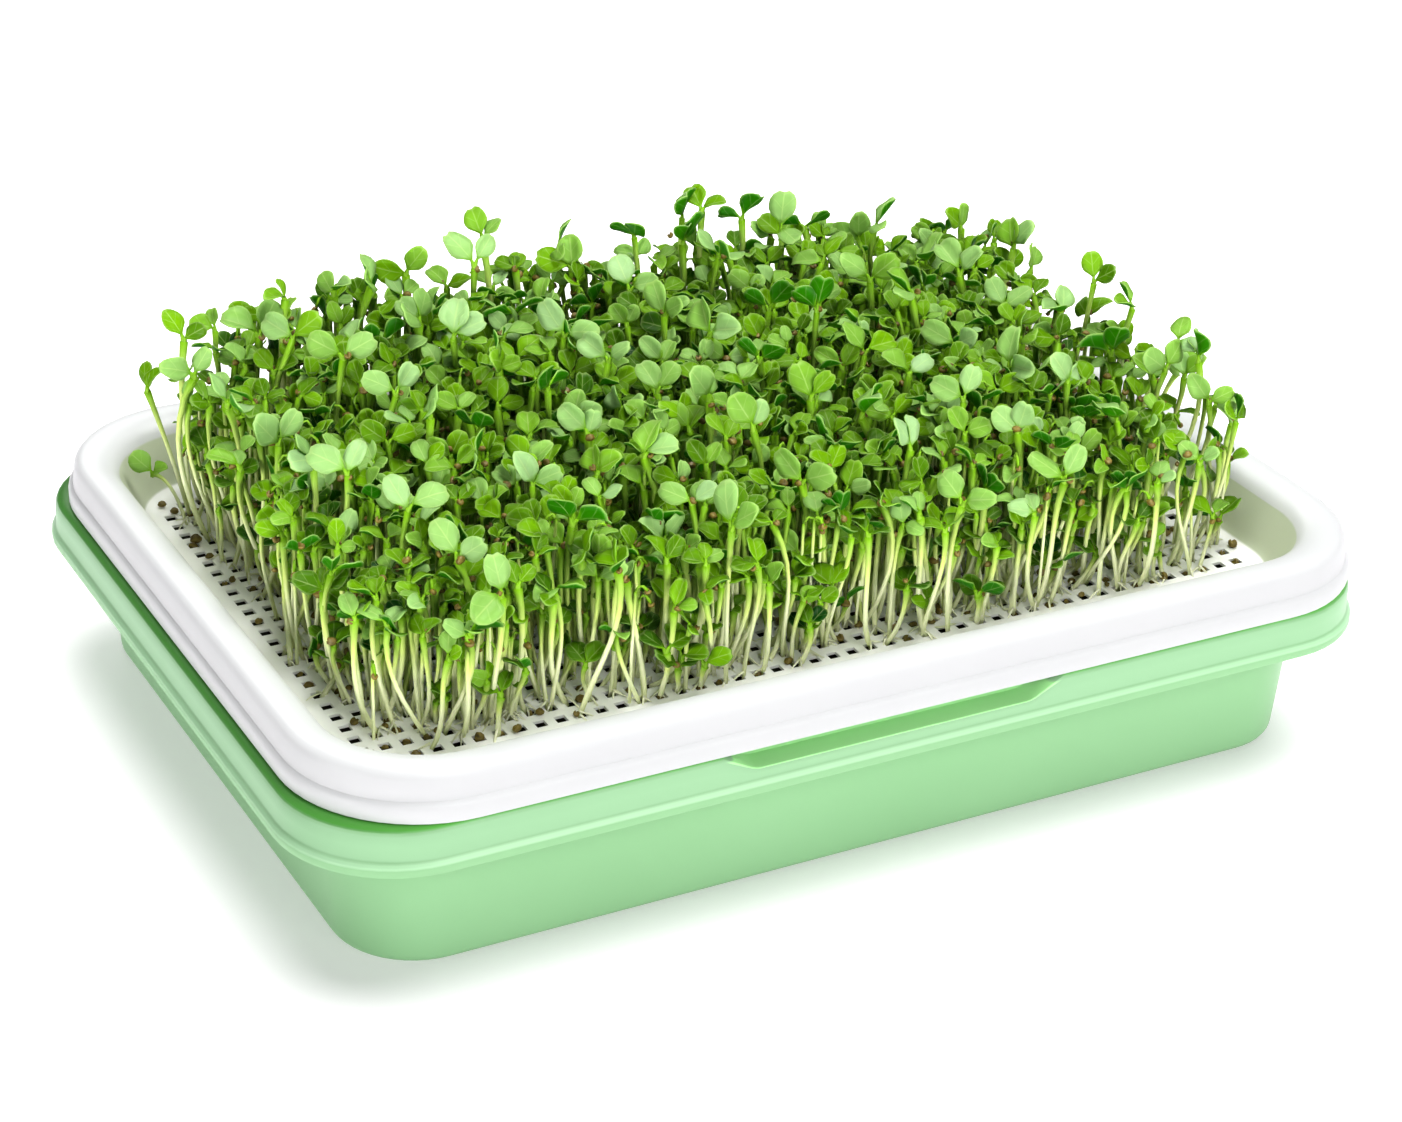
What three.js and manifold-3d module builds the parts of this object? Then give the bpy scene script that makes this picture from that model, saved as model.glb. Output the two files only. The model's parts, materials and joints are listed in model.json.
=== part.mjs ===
// Microgreens tray: a white mesh tray nests in a mint green water tray and carries a bed of
// brassica sprouts. Millimetres, +Z up, +X along the long front side, origin at the centre of
// the underside of the water tray.
import * as THREE from 'three';
import { mergeGeometries, mergeVertices } from 'three/addons/utils/BufferGeometryUtils.js';
import Module from 'manifold-3d';

// ---- Driving dimensions -------------------------------------------------------------------

const WALL = 1.8;              // moulded wall of both trays
const CORNER_STEPS = 6;        // flats in each rounded corner
const REST_GAP = 0.3;          // air between pieces that rest on each other

// Water tray: outline of its base, and how it grows up to the lip of its flange.
const BASE = { halfLength: 152, halfWidth: 106.5, radius: 22.5 };
const BASE_GROWTH = { width: 0.875, radius: 0.62 };
const LIP_OUT = 20;            // the lip stands this far outside the base
const LIP_Z = 39;              // underside of the lip
const LEDGE_Z = 52.7;          // flat ledge that carries the mesh tray

// Finger notch in the front of the flange.
const NOTCH = { topHalf: 54.5, floorHalf: 44, floorZ: 44.8, depth: 10.5, centreX: -2 };

// Mesh tray: outline of the foot of its skirt, and how it shrinks towards the middle.
const SKIRT = { halfLength: 170, halfWidth: 123, radius: 40 };
const SKIRT_GROWTH = { width: 1.125, radius: 0.8 };
const TRAY_SHIFT = { x: 2, y: -1 };       // play of the mesh tray on the ledge
const SKIRT_Z = LEDGE_Z + REST_GAP;
const MESH_Z = 48.5;                      // top of the perforated floor
const MESH_THICKNESS = 1.6;

// Drain holes: square, on a rectangular grid. Every third row and column is cut here.
const HOLE = { side: 3.3, pitchX: 6.15, pitchY: 6.6, columns: 47, rows: 27, keepEvery: 3 };
const HOLE_MARGIN = 3.3;                  // from the middle of a hole to the edge of the floor

// Sprout bed: clumps in a grid on the mesh, each with its own root mat, stems and leaf crown.
const BED = { minX: -133, maxX: 144, minY: -78, maxY: 92, columns: 9, rows: 5 };
const BED_HEIGHT = { front: 50, rise: 20, ends: 11 };
const CLUMP_GAP = 0.4;
const CROWN_OVERHANG = 5;                 // leaves lean out past the edge of the bed
const MAT_THICKNESS = 1.4;

const STEM_RADIUS = 0.9;
const LEAF = { length: 9, width: 9.5, thickness: 0.8 };
const HUSK_RADIUS = 1.5;

// ---- Solids -------------------------------------------------------------------------------

const wasm = await Module();
wasm.setup();

function toSolid(geometry) {
  const bare = geometry.clone();
  bare.deleteAttribute('normal');
  bare.deleteAttribute('uv');
  const welded = mergeVertices(bare, 1e-4);
  return new wasm.Manifold(new wasm.Mesh({
    numProp: 3,
    vertProperties: new Float32Array(welded.attributes.position.array),
    triVerts: new Uint32Array(welded.index.array),
  }));
}

function toGeometry(solid) {
  const mesh = solid.getMesh();
  const geometry = new THREE.BufferGeometry();
  geometry.setAttribute('position', new THREE.BufferAttribute(mesh.vertProperties, 3));
  geometry.setIndex(new THREE.BufferAttribute(mesh.triVerts, 1));
  geometry.computeVertexNormals();
  return geometry;
}

// Counter-clockwise outline of a rectangle with rounded corners, at one height.
function roundedOutline(halfLength, halfWidth, radius, z, shift = { x: 0, y: 0 }) {
  const points = [];
  for (const [sideX, sideY, quarter] of [[1, 1, 0], [-1, 1, 1], [-1, -1, 2], [1, -1, 3]]) {
    for (let step = 0; step <= CORNER_STEPS; step += 1) {
      const angle = (quarter + step / CORNER_STEPS) * Math.PI / 2;
      points.push(new THREE.Vector3(
        shift.x + sideX * (halfLength - radius) + radius * Math.cos(angle),
        shift.y + sideY * (halfWidth - radius) + radius * Math.sin(angle),
        z,
      ));
    }
  }
  return points;
}

// Closed skin through a stack of outlines with equal point counts, capped at both ends.
function skin(outlines) {
  const count = outlines[0].length;
  const index = [];
  for (let level = 0; level + 1 < outlines.length; level += 1) {
    for (let i = 0; i < count; i += 1) {
      const a = level * count + i;
      const b = level * count + (i + 1) % count;
      index.push(a, b, b + count, a, b + count, a + count);
    }
  }
  const last = (outlines.length - 1) * count;
  for (let i = 1; i + 1 < count; i += 1) {
    index.push(0, i + 1, i, last, last + i, last + i + 1);
  }
  const geometry = new THREE.BufferGeometry().setFromPoints(outlines.flat());
  geometry.setIndex(index);
  geometry.computeVertexNormals();
  return geometry;
}

// ---- Water tray ---------------------------------------------------------------------------

function waterOutline([out, z]) {
  return roundedOutline(
    BASE.halfLength + out,
    BASE.halfWidth + out * BASE_GROWTH.width,
    BASE.radius + out * BASE_GROWTH.radius,
    z,
  );
}

// Section of the water tray, from the middle of its underside round to its inner floor:
// [distance outside the base outline, height].
function waterSection() {
  const bandOut = LIP_OUT - 0.8;
  const under = LEDGE_Z - WALL;
  return [
    [-2.5, 0], [-0.8, 0.5], [0, 2.2], [2, LIP_Z], [2.8, 43], [5, 48.5], [8.8, under],
    [bandOut - 3, under], [bandOut - WALL, under - 1.6], [bandOut - WALL, LIP_Z],
    [LIP_OUT - 0.3, LIP_Z], [LIP_OUT, LIP_Z + 0.4], [LIP_OUT, LIP_Z + 2.4], [bandOut, LIP_Z + 3],
    [bandOut, LEDGE_Z - 3.6], [bandOut - 0.9, LEDGE_Z - 1.2], [bandOut - 3.4, LEDGE_Z],
    [7, LEDGE_Z], [4.4, LEDGE_Z - 1.6], [2.3, LEDGE_Z - 5], [0.7, 42], [-1.9, 5], [-4, 2],
  ];
}

// Block with slanted ends that widens upwards, reaching from the front edge inwards.
function notchBlock(grow, frontY, topZ) {
  const { topHalf, floorHalf, floorZ, depth, centreX } = NOTCH;
  const slope = (topHalf - floorHalf) / (LEDGE_Z - floorZ);
  const bottomZ = floorZ - grow;
  const outline = (z) => {
    const half = floorHalf + grow + slope * (z - floorZ);
    const backY = -BASE.halfWidth - LIP_OUT * BASE_GROWTH.width + depth + grow;
    return [
      new THREE.Vector3(centreX - half, frontY, z), new THREE.Vector3(centreX + half, frontY, z),
      new THREE.Vector3(centreX + half, backY, z), new THREE.Vector3(centreX - half, backY, z),
    ];
  };
  return toSolid(skin([outline(bottomZ), outline(topZ)]));
}

function waterTray() {
  const frontY = -BASE.halfWidth - LIP_OUT * BASE_GROWTH.width;
  const shell = toSolid(skin(waterSection().map(waterOutline)));
  const pan = notchBlock(WALL, frontY + 1.4, LEDGE_Z);
  const dent = notchBlock(0, frontY - 5, LEDGE_Z + 5);
  return toGeometry(shell.add(pan).subtract(dent));
}

// ---- Mesh tray ----------------------------------------------------------------------------

function meshOutline([out, z]) {
  return roundedOutline(
    SKIRT.halfLength + out,
    SKIRT.halfWidth + out * SKIRT_GROWTH.width,
    SKIRT.radius + out * SKIRT_GROWTH.radius,
    z,
    TRAY_SHIFT,
  );
}

// Section of the mesh tray, from the underside of its floor, over the rim, to the floor's top.
function meshSection() {
  const under = MESH_Z - MESH_THICKNESS;
  return [
    [-21.6, under], [-19.4, under + 0.6], [-17.7, under + 3], [-12.6, 62], [-11, 64.3],
    [-9.2, 65.4], [-6.8, 65.7], [-4.6, 64.9], [-3.4, 63], [-1.8, SKIRT_Z],
    [0, SKIRT_Z], [0, SKIRT_Z + 5.4], [-1.2, SKIRT_Z + 6], [-1.6, 64], [-2.7, 66.3],
    [-4.7, 67.3], [-7.4, 67.4], [-10, 66.9], [-12, 65.5], [-13.8, 63], [-19, 51.4],
    [-20.6, 49.3], [-22.6, MESH_Z],
  ];
}

// True where a hole keeps its margin to the rounded edge of the mesh floor.
function insideFloor(x, y) {
  const reach = -22.6;
  const halfLength = SKIRT.halfLength + reach - HOLE_MARGIN;
  const halfWidth = SKIRT.halfWidth + reach * SKIRT_GROWTH.width - HOLE_MARGIN;
  const radius = SKIRT.radius + reach * SKIRT_GROWTH.radius - HOLE_MARGIN;
  const cornerX = Math.max(0, Math.abs(x) - (halfLength - radius));
  const cornerY = Math.max(0, Math.abs(y) - (halfWidth - radius));
  return Math.hypot(cornerX, cornerY) <= radius;
}

function drainHoles() {
  const boxes = [];
  const middleColumn = (HOLE.columns - 1) / 2;
  const middleRow = (HOLE.rows - 1) / 2;
  for (let column = 1; column < HOLE.columns; column += HOLE.keepEvery) {
    for (let row = 1; row < HOLE.rows; row += HOLE.keepEvery) {
      const x = (column - middleColumn) * HOLE.pitchX;
      const y = (row - middleRow) * HOLE.pitchY;
      if (insideFloor(x, y)) {
        const box = new THREE.BoxGeometry(HOLE.side, HOLE.side, 3 * MESH_THICKNESS);
        boxes.push(box.translate(x + TRAY_SHIFT.x, y + TRAY_SHIFT.y, MESH_Z));
      }
    }
  }
  return toSolid(mergeGeometries(boxes));
}

function meshTray() {
  const shell = toSolid(skin(meshSection().map(meshOutline)));
  return toGeometry(shell.subtract(drainHoles()));
}

// ---- Sprout clumps ------------------------------------------------------------------------

// Height of the leaf canopy above the mesh: it rises to the back and drops at the right end.
function canopyHeight(x, y) {
  const depth = THREE.MathUtils.clamp((y - BED.minY) / (BED.maxY - BED.minY), 0, 1);
  const along = THREE.MathUtils.clamp((x - BED.minX) / (BED.maxX - BED.minX), 0, 1);
  const ripple = Math.sin(x * 0.09) * Math.cos(y * 0.11 + x * 0.03);
  const ends = BED_HEIGHT.ends * (Math.max(0, along - 0.7) / 0.3) ** 2;
  return BED_HEIGHT.front + BED_HEIGHT.rise * Math.sqrt(depth) - ends + 2 * ripple;
}

// Eight-sided level of a clump: the cell's box pulled in, or pushed out past the bed's edge.
function clumpOutline(cell, inset, overhang, share) {
  const low = { x: cell.minX + inset, y: cell.minY + inset };
  const high = { x: cell.maxX - inset, y: cell.maxY - inset };
  if (cell.minX === BED.minX) low.x -= overhang;
  if (cell.maxX === BED.maxX) high.x += overhang;
  if (cell.minY === BED.minY) low.y -= overhang;
  if (cell.maxY === BED.maxY) high.y += overhang * 0.6;
  const cut = 4 + share * 3;
  const corners = [
    [high.x, low.y + cut], [high.x, high.y - cut], [high.x - cut, high.y], [low.x + cut, high.y],
    [low.x, high.y - cut], [low.x, low.y + cut], [low.x + cut, low.y], [high.x - cut, low.y],
  ];
  const foot = MESH_Z + REST_GAP;
  return corners.map(([x, y]) => new THREE.Vector3(
    x, y, foot + (share < 0.1 ? share * 45 : share * canopyHeight(x, y)),
  ));
}

function sproutClump(cell) {
  const half = CLUMP_GAP / 2;
  const mat = MAT_THICKNESS / 45;
  return skin([
    clumpOutline(cell, half, 0, 0),
    clumpOutline(cell, half, 0, mat),
    clumpOutline(cell, 3, 0, 2 * mat),
    clumpOutline(cell, 2.4, 0.5, 0.5),
    clumpOutline(cell, half, CROWN_OVERHANG, 0.66),
    clumpOutline(cell, 0.9, CROWN_OVERHANG, 0.86),
    clumpOutline(cell, 7, CROWN_OVERHANG, 1),
  ]);
}

// ---- Single sprouts and loose husks -------------------------------------------------------

// Flat notched seed leaf that grows along +X from the origin.
function leafBlade() {
  const { length, width, thickness } = LEAF;
  const shape = new THREE.Shape();
  shape.moveTo(-0.8, -0.5);
  shape.quadraticCurveTo(length * 0.35, -width * 0.62, length, -width * 0.42);
  shape.quadraticCurveTo(length * 1.08, -width * 0.1, length * 0.86, 0);
  shape.quadraticCurveTo(length * 1.08, width * 0.1, length, width * 0.42);
  shape.quadraticCurveTo(length * 0.35, width * 0.62, -0.8, 0.5);
  const blade = new THREE.ExtrudeGeometry(shape, {
    depth: thickness, bevelEnabled: false, curveSegments: 3,
  });
  return blade.translate(0, 0, -thickness / 2);
}

// Stem along a curve through three points, with a pair of leaves opened from its tip.
function singleSprout({ foot, bend, tip, heading }) {
  const route = new THREE.CatmullRomCurve3([foot, bend, tip].map((p) => new THREE.Vector3(...p)));
  const section = new THREE.Shape();
  section.absarc(0, 0, STEM_RADIUS, 0, 2 * Math.PI);
  const stem = new THREE.ExtrudeGeometry(section, {
    extrudePath: route, steps: 8, curveSegments: 3, bevelEnabled: false,
  });
  let solid = toSolid(stem);
  for (const turn of [-0.75, 0.75]) {
    const blade = leafBlade();
    blade.rotateX(turn * 0.6);
    blade.rotateY(-0.25);
    blade.rotateZ(heading + turn);
    blade.translate(...tip);
    solid = solid.add(toSolid(blade));
  }
  return toGeometry(solid);
}

// Split seed coat, a flattened pebble lying on the mesh.
function seedHusk([x, y]) {
  const husk = new THREE.IcosahedronGeometry(HUSK_RADIUS, 1);
  husk.scale(1.15, 1, 0.8);
  husk.rotateZ(x);
  return toGeometry(toSolid(husk.translate(x, y, MESH_Z + REST_GAP + HUSK_RADIUS * 0.8)));
}

const STEM_FOOT_Z = MESH_Z + REST_GAP + 0.3;
const LONE_SPROUTS = {
  lone_sprout_back_left: {
    foot: [-136.5, 72, STEM_FOOT_Z], bend: [-139, 76, 57], tip: [-142, 82, 66], heading: 2.6,
  },
  lone_sprout_right: {
    foot: [147.5, -20, STEM_FOOT_Z], bend: [153, -22, 70], tip: [157, -26, 90], heading: -0.4,
  },
  lone_sprout_front_right: {
    foot: [147, -58, STEM_FOOT_Z], bend: [148.5, -57, 58], tip: [150, -54, 69], heading: 1.3,
  },
};
const HUSK_PLACES = [[-139.5, 86], [-138, 60], [-139.5, 4], [148.3, -72], [116, -81], [-98, -81.5]];

// ---- Assembly -----------------------------------------------------------------------------

const mintPlastic = { color: '#9fd9a0', roughness: 0.32, metalness: 0 };
const whitePlastic = { color: '#f4f5f6', roughness: 0.42, metalness: 0 };
const leafGreen = { color: '#6fa43c', roughness: 0.55, metalness: 0 };
const huskBrown = { color: '#3f1f10', roughness: 0.7, metalness: 0 };

const tray = new THREE.Group();

function addPiece(name, geometry, finish) {
  const piece = new THREE.Mesh(geometry, new THREE.MeshStandardMaterial(finish));
  piece.name = name;
  tray.add(piece);
}

addPiece('water_tray', waterTray(), mintPlastic);
addPiece('mesh_tray', meshTray(), whitePlastic);

const cellLength = (BED.maxX - BED.minX) / BED.columns;
const cellWidth = (BED.maxY - BED.minY) / BED.rows;
for (let row = 0; row < BED.rows; row += 1) {
  for (let column = 0; column < BED.columns; column += 1) {
    const cell = {
      minX: BED.minX + column * cellLength,
      maxX: column + 1 === BED.columns ? BED.maxX : BED.minX + (column + 1) * cellLength,
      minY: BED.minY + row * cellWidth,
      maxY: row + 1 === BED.rows ? BED.maxY : BED.minY + (row + 1) * cellWidth,
    };
    addPiece(`sprout_clump_${row + 1}_${column + 1}`, sproutClump(cell), leafGreen);
  }
}
for (const [name, places] of Object.entries(LONE_SPROUTS)) {
  addPiece(name, singleSprout(places), leafGreen);
}
HUSK_PLACES.forEach((place, number) => {
  addPiece(`seed_husk_${number + 1}`, seedHusk(place), huskBrown);
});

export default tray;
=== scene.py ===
"""Microgreens tray: a white mesh tray nests in a mint green water tray and carries a bed of
brassica sprouts. Metres, +Z up, +X along the long front side, +Y away from the front."""
import json
import math
import random

import bmesh
import bpy
import numpy as np
from bpy.props import FloatProperty, FloatVectorProperty, IntProperty, PointerProperty
from mathutils import Matrix, Vector, noise

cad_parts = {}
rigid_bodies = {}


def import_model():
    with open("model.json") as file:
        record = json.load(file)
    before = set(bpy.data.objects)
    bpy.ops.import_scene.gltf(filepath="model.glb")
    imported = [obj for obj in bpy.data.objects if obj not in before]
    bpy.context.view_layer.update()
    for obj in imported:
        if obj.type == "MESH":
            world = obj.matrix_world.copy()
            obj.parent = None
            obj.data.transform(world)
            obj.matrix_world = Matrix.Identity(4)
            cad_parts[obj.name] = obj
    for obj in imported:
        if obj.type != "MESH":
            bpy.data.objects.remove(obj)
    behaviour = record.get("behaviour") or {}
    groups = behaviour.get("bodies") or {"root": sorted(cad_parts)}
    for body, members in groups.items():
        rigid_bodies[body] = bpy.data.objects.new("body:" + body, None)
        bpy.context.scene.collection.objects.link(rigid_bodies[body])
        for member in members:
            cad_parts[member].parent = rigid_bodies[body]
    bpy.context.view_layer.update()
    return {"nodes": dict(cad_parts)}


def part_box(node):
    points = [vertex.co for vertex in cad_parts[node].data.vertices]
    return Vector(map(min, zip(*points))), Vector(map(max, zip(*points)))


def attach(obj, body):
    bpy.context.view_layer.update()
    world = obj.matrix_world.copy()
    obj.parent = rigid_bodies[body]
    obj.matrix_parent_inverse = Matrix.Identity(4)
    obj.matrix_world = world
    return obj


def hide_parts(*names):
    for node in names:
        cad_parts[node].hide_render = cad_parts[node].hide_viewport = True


bl_info = {
    "name": "Microgreens tray",
    "version": (1, 0, 0),
    "blender": (4, 5, 0),
    "location": "View3D > Sidebar > Microgreens",
    "description": "Builds a two-layer sprouting tray with a bed of brassica microgreens",
    "category": "Add Mesh",
}

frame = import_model()
MM = 0.001

# ---- Fixed dimensions, in millimetres -----------------------------------------------------

# Water tray: its outline grows by these shares of the distance outside the base outline.
BASE_GROWTH_WIDTH = 0.875
BASE_GROWTH_RADIUS = 0.62

# Upper side of the water tray's sheet: (distance outside the base outline, height).
WATER_FLOOR = [(-3.5, 1.8), (-0.8, 1.8), (-0.34, 1.89), (0.05, 2.15), (0.31, 2.54), (0.4, 3.0)]
WATER_WALL = [(2.9, 39.0), (3.4, 43.0), (4.1, 47.0), (5.0, 50.0), (6.2, 51.8), (7.6, 52.6)]
WATER_LEDGE = [
    (8.2, 52.7), (9.0, 52.68), (10.5, 52.66), (12.5, 52.64), (15.4, 52.6), (17.1, 52.3),
    (18.1, 51.6), (18.6, 50.4), (18.7, 47.5),
]
WATER_LIP = [
    (18.7, 43.7), (18.85, 43.2), (19.3, 42.6), (19.8, 42.1), (20.1, 41.6), (20.15, 41.0),
    (20.1, 39.6), (19.8, 39.0),
]

# Where the ledge stations go inside the finger notch, in the same order.
NOTCH_LEDGE = [
    (8.0, 52.2), (8.3, 50.5), (8.9, 47.8), (10.2, 46.6), (14.0, 46.5), (17.2, 46.5),
    (18.2, 46.3), (18.6, 45.8), (18.7, 44.8),
]
NOTCH_CENTRE_X = -2.0
NOTCH_SPAN = 120.0                  # the front is cut for the notch up to here on both sides
# Distance from the middle of the notch, and how far the ledge is pressed down there.
NOTCH_ENDS = [42.6, 44.0, 45.4, 49.2, 53.1, 54.5, 55.9]
NOTCH_PRESS = [1.0, 0.965, 0.88, 0.5, 0.12, 0.035, 0.0]

# Mesh tray: its outline shrinks by these shares of the distance inside the skirt's foot.
SKIRT_GROWTH_WIDTH = 1.125
SKIRT_GROWTH_RADIUS = 0.8
TRAY_SHIFT = (2.0, -1.0)
MESH_TOP = 48.5
MESH_THICKNESS = 0.9                # the perforated floor is thinner than the tray's wall
MESH_EDGE_OUT = -22.6
SMOOTH_ANGLE = math.radians(32)     # sharper bends of the mouldings stay crisp

# Upper side of the mesh tray's sheet, from its floor over the rim to the foot of the skirt.
MESH_SECTION = [
    (MESH_EDGE_OUT, MESH_TOP), (-21.5, 48.9), (-20.5, 49.8), (-19.6, 51.2), (-18.9, 52.7),
    (-14.3, 62.6), (-13.3, 64.4), (-12.0, 65.7), (-10.2, 66.7), (-8.2, 67.25), (-6.2, 67.4),
    (-4.3, 67.25), (-3.1, 66.8), (-2.3, 65.9), (-1.9, 64.6), (-1.6, 61.6), (-1.5, 59.9),
    (-1.3, 59.1), (-0.6, 58.5), (-0.15, 57.9), (0.0, 56.9), (0.0, 53.9), (-0.25, 53.2),
]

# Zones of painted light and shade on the mouldings: how far they reach from the middle along X and
# Y.
ZONE_BLEND = 0.6                    # over this height a zone blends into the next one
EVERYWHERE = (500.0, 500.0)
# Reach of the painted light in the finger notch.
NOTCH_PAINT_REACH = (60.0, 122.6)
# Reach of the painted shade on the inner wall of the mesh tray.
INNER_WALL_PAINT_REACH = (157.8, 107.4)
WHITE = (1.0, 1.0, 1.0)

# Sprout bed: its outline and canopy.
CANOPY_RIPPLE = 2.0
CANOPY_WAVES = (0.09, 0.11, 0.03)   # its waves along, across, and across along the length
CANOPY_DROPS = (0.3, 0.4)           # shares of the length: end of the left drop, start of the right
RIGHT_DROP_POWER = 1.5
RIGHT_DROP_SHARES = (0.3, 0.7)      # of the right drop: all over, and growing to the back
CROWN_OVERHANG = 5.0                # the clumps' boxes reach this far past the outermost stems
BED_CORNER = 22.0                   # radius of the bed's rounded corners

# Sprout bed: where the sprouts stand.
HEAD_OVERHANG = 6.5                 # leaves lean out this far past the outermost stems
HEAD_JITTER = 0.28                  # how far a sprout strays from its grid, in spacings
TALL_EVERY = (7, 4)                 # one tall sprout in so many columns, in one of so many rows
EDGE_BARE = (1.0, 16.0)             # this near the edge and the right end the bed is thinner:
EDGE_BARE_SHARE = 0.4               # this share of the sprouts is missing
OUTER_ROWS = 9.0                    # this near the edge more sprouts stay low,
EDGE_EXTRA_SHARE = 0.3              # and this share has another sprout beside it
# A stem deep in the bed is green from the foot up, as painted shade under the leaves.
DEEP_IN_BED = 12.0                  # further in than this, a stem has no pale foot
FOOT_HEIGHT = MESH_TOP - MESH_THICKNESS
FOOT_PULL = 5.5                     # at the edge, a stem's foot stands this far in from its head
FOOT_PULL_FROM = 8.0                # further in than this, it isn't pulled
OUTSTANDING_PULL = 9.0              # the pull of the sprouts that stand out
FOOT_SPREAD = 3.0                   # spread of the feet before each goes to its nearest hole
HOLE_SPREAD = 1.0                   # spread about the middle of that hole
STUCK_HUSK_SHARE = 0.42             # share of the sprouts that hold a husk among their leaves
LATE_SHARE = 0.2                    # share that has an unopened sprout beside it

# One sprout: girths at equal steps along it, as shares of its stem's radius.
STEM_GIRTHS = [0.75, 0.95, 0.95, 0.9, 0.88, 0.9, 0.98, 1.15, 1.5]
STALK_GIRTHS = [1.25, 0.95, 0.72, 0.5]
LATE_GIRTH = 0.62                   # an unopened sprout is thinner by this
STEM_SWAY = 0.075                   # spread of a stem's bends, as a share of its height
STALK_SINK = 0.9                    # a leaf stalk starts this far down inside the stem's tip
LEAF_DEPTH = 6.0                    # a sprout forks this far below the tops of its leaves

# One sprout: spreads of its draws. Angles are in radians; a leaf's measures are shares of its
# length.
ANY_TURN = (0, 6.28)
GIRTH_SPREAD = (0.8, 1.15)          # of a stem, as a share of the usual radius
LEAF_TILT = 0.4                     # the pair leans aside in its plane
LEAF_OPENING = (0.5, 1.15)          # from the middle of the pair to each leaf
LEAF_TURN = 0.1
LEAF_LIFT = (0.05, 0.5)             # out of the pair's plane
LEAF_ROLL = 0.22                    # about the leaf's own midrib
LEAF_TONE = 0.1
SMALLER_LEAF = (0.74, 1.0)          # as a share of the other leaf of the pair
STALK_REACH = (0.12, 0.3)
STALK_OVERLAP = 0.05                # of the blade's foot with its stalk
BLADE = {"width": (0.62, 0.82), "fold": (-0.1, 0.6), "arch": (-0.1, 0.36), "notch": (0.0, 0.1),
         "wave": ANY_TURN}
BLADE_RIPPLE = (0.16, 5.5)          # its height, and how close its waves are
TIP_NOTCH = (0.13, 0.55, 0.45)      # its width, where it starts, and its length
BLADE_FOOT = (0.36, 0.34, 0.66)     # its length, its width, and how much it widens

# A seed husk: width and height as shares of its length, how far it curls, and its open seam's
# width and depth; its size and its tilt.
HUSK_SHAPE = (0.78, 0.7, 0.25)
HUSK_SEAM = (0.12, 0.7)
HUSK_SIZE = (0.75, 1.2)
HUSK_TILT = (-1.2, 1.2)

# Root threads: radii, reach, and heights of their start, knee and end over the stem's foot.
ROOT_RADII = [0.45, 0.38, 0.3, 0.14]
ROOT_REACH = (2.2, 5.5)
ROOT_START = (1.6, 3.4)
ROOT_KNEE = (1.1, 1.8)
ROOT_END = (-1.2, 1.0)

# An unopened sprout: its height as a share of the canopy's, how far its neck leans and its foot
# strays, and the reach and droop of its hooked top.
LATE_HEIGHT = (0.5, 0.93)
LATE_LEAN = 1.5
LATE_STRAY = 2
HOOK_REACH = (3.0, 5.5)
HOOK_DROOP = (-0.5, 2.5)

# Which way leaves face, in degrees: how far up, and the side of the window, with its spread,
# to which this share of the sprouts turned.
FACING_ELEVATION = (34, 86)
TALL_FACING_ELEVATION = (18, 62)
WINDOW_SIDE = (-112, 48)
WINDOW_SHARE = 0.6

# Husks strewn on the mesh, and the root mat under it, which is dark as painted shade.
STREWN_HUSKS = 260
STREWN_MARGIN = (6.0, 4.0)          # how far past the bed they lie, along and across
STREWN_FRONT = (0.6, 22.0)          # share of them near the front, and how far back that reaches
STREWN_LEFT = (0.5, 16.0)           # share of the rest near the left end, and its reach
IN_HOLE_SHARE = 0.75
HUSK_SINK = 0.3                     # a husk in a hole has its middle this far below the mesh's top
ROOT_MAT_TOP = 47.4
ROOT_MAT_CELLS = (56, 34)
ROOT_MAT_THICKNESS = 2.5
ROOT_MAT_LUMP = 7.0                 # size of its lumps

# Draws below these make a top or a middle sprout: inside the bed, and in its outer rows.
TIER_LIMITS = (0.4, 0.72)
OUTER_TIER_LIMITS = (0.32, 0.56)

# Tiers of the canopy: height as a share of the canopy's, leaf length as a share of the usual
# one, and tone from deep to pale green. The tone varies at random within a tier, but low tiers
# take deep tones as painted shade under the canopy, and tall ones pale tones as painted light.
TIERS = {
    "tall": ((1.0, 1.15), (0.98, 1.18), (0.6, 0.94)),
    "top": ((0.85, 1.0), (0.66, 0.92), (0.25, 0.75)),
    "middle": ((0.66, 0.86), (0.6, 0.86), (0.1, 0.5)),
    "low": ((0.42, 0.68), (0.5, 0.78), (0.0, 0.3)),
    "low_outer": ((0.3, 0.68), (0.6, 0.9), (0.1, 0.55)),
}

# Forks of the sprouts that stand out above the others along the back and the ends of the bed.
OUTSTANDING_FORKS = [
    (-133, 78, 106), (-145, 78, 92), (-100, 80, 113), (-82, 86, 109), (-58, 86, 112),
    (-32, 86, 119), (-6, 86, 112), (21, 86, 112), (38, 86, 116), (44, 84, 118),
    (60, 86, 112), (84, 86, 105), (105, 86, 97), (133, 84, 90), (138, 70, 92), (143, 40, 98),
    (143, 5, 107), (144, -15, 106), (143, -41, 105), (143, -52, 103), (143, -73, 92),
]

# ---- Colours and nodes --------------------------------------------------------------------


def linear(code):
    """Linear colour of an sRGB hex value such as "9fd9a0"."""
    values = [int(code[i:i + 2], 16) / 255 for i in (0, 2, 4)]
    return tuple(v / 12.92 if v <= 0.04045 else ((v + 0.055) / 1.055) ** 2.4 for v in values)


def add_node(tree, kind, inputs=None, **settings):
    """Add a shader node of this kind, set its properties, and set or link its inputs. A node
    given as an input stands for the first of its outputs that is in use."""
    node = tree.nodes.new("ShaderNode" + kind)
    for name, value in settings.items():
        setattr(node, name, value)
    for name, value in (inputs or {}).items():
        socket = node.inputs[name]
        if isinstance(value, bpy.types.Node):
            value = next(output for output in value.outputs if output.enabled)
        if isinstance(value, bpy.types.NodeSocket):
            tree.links.new(value, socket)
        elif socket.type == "RGBA":
            socket.default_value = (*value, 1.0)
        else:
            socket.default_value = value
    return node


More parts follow.
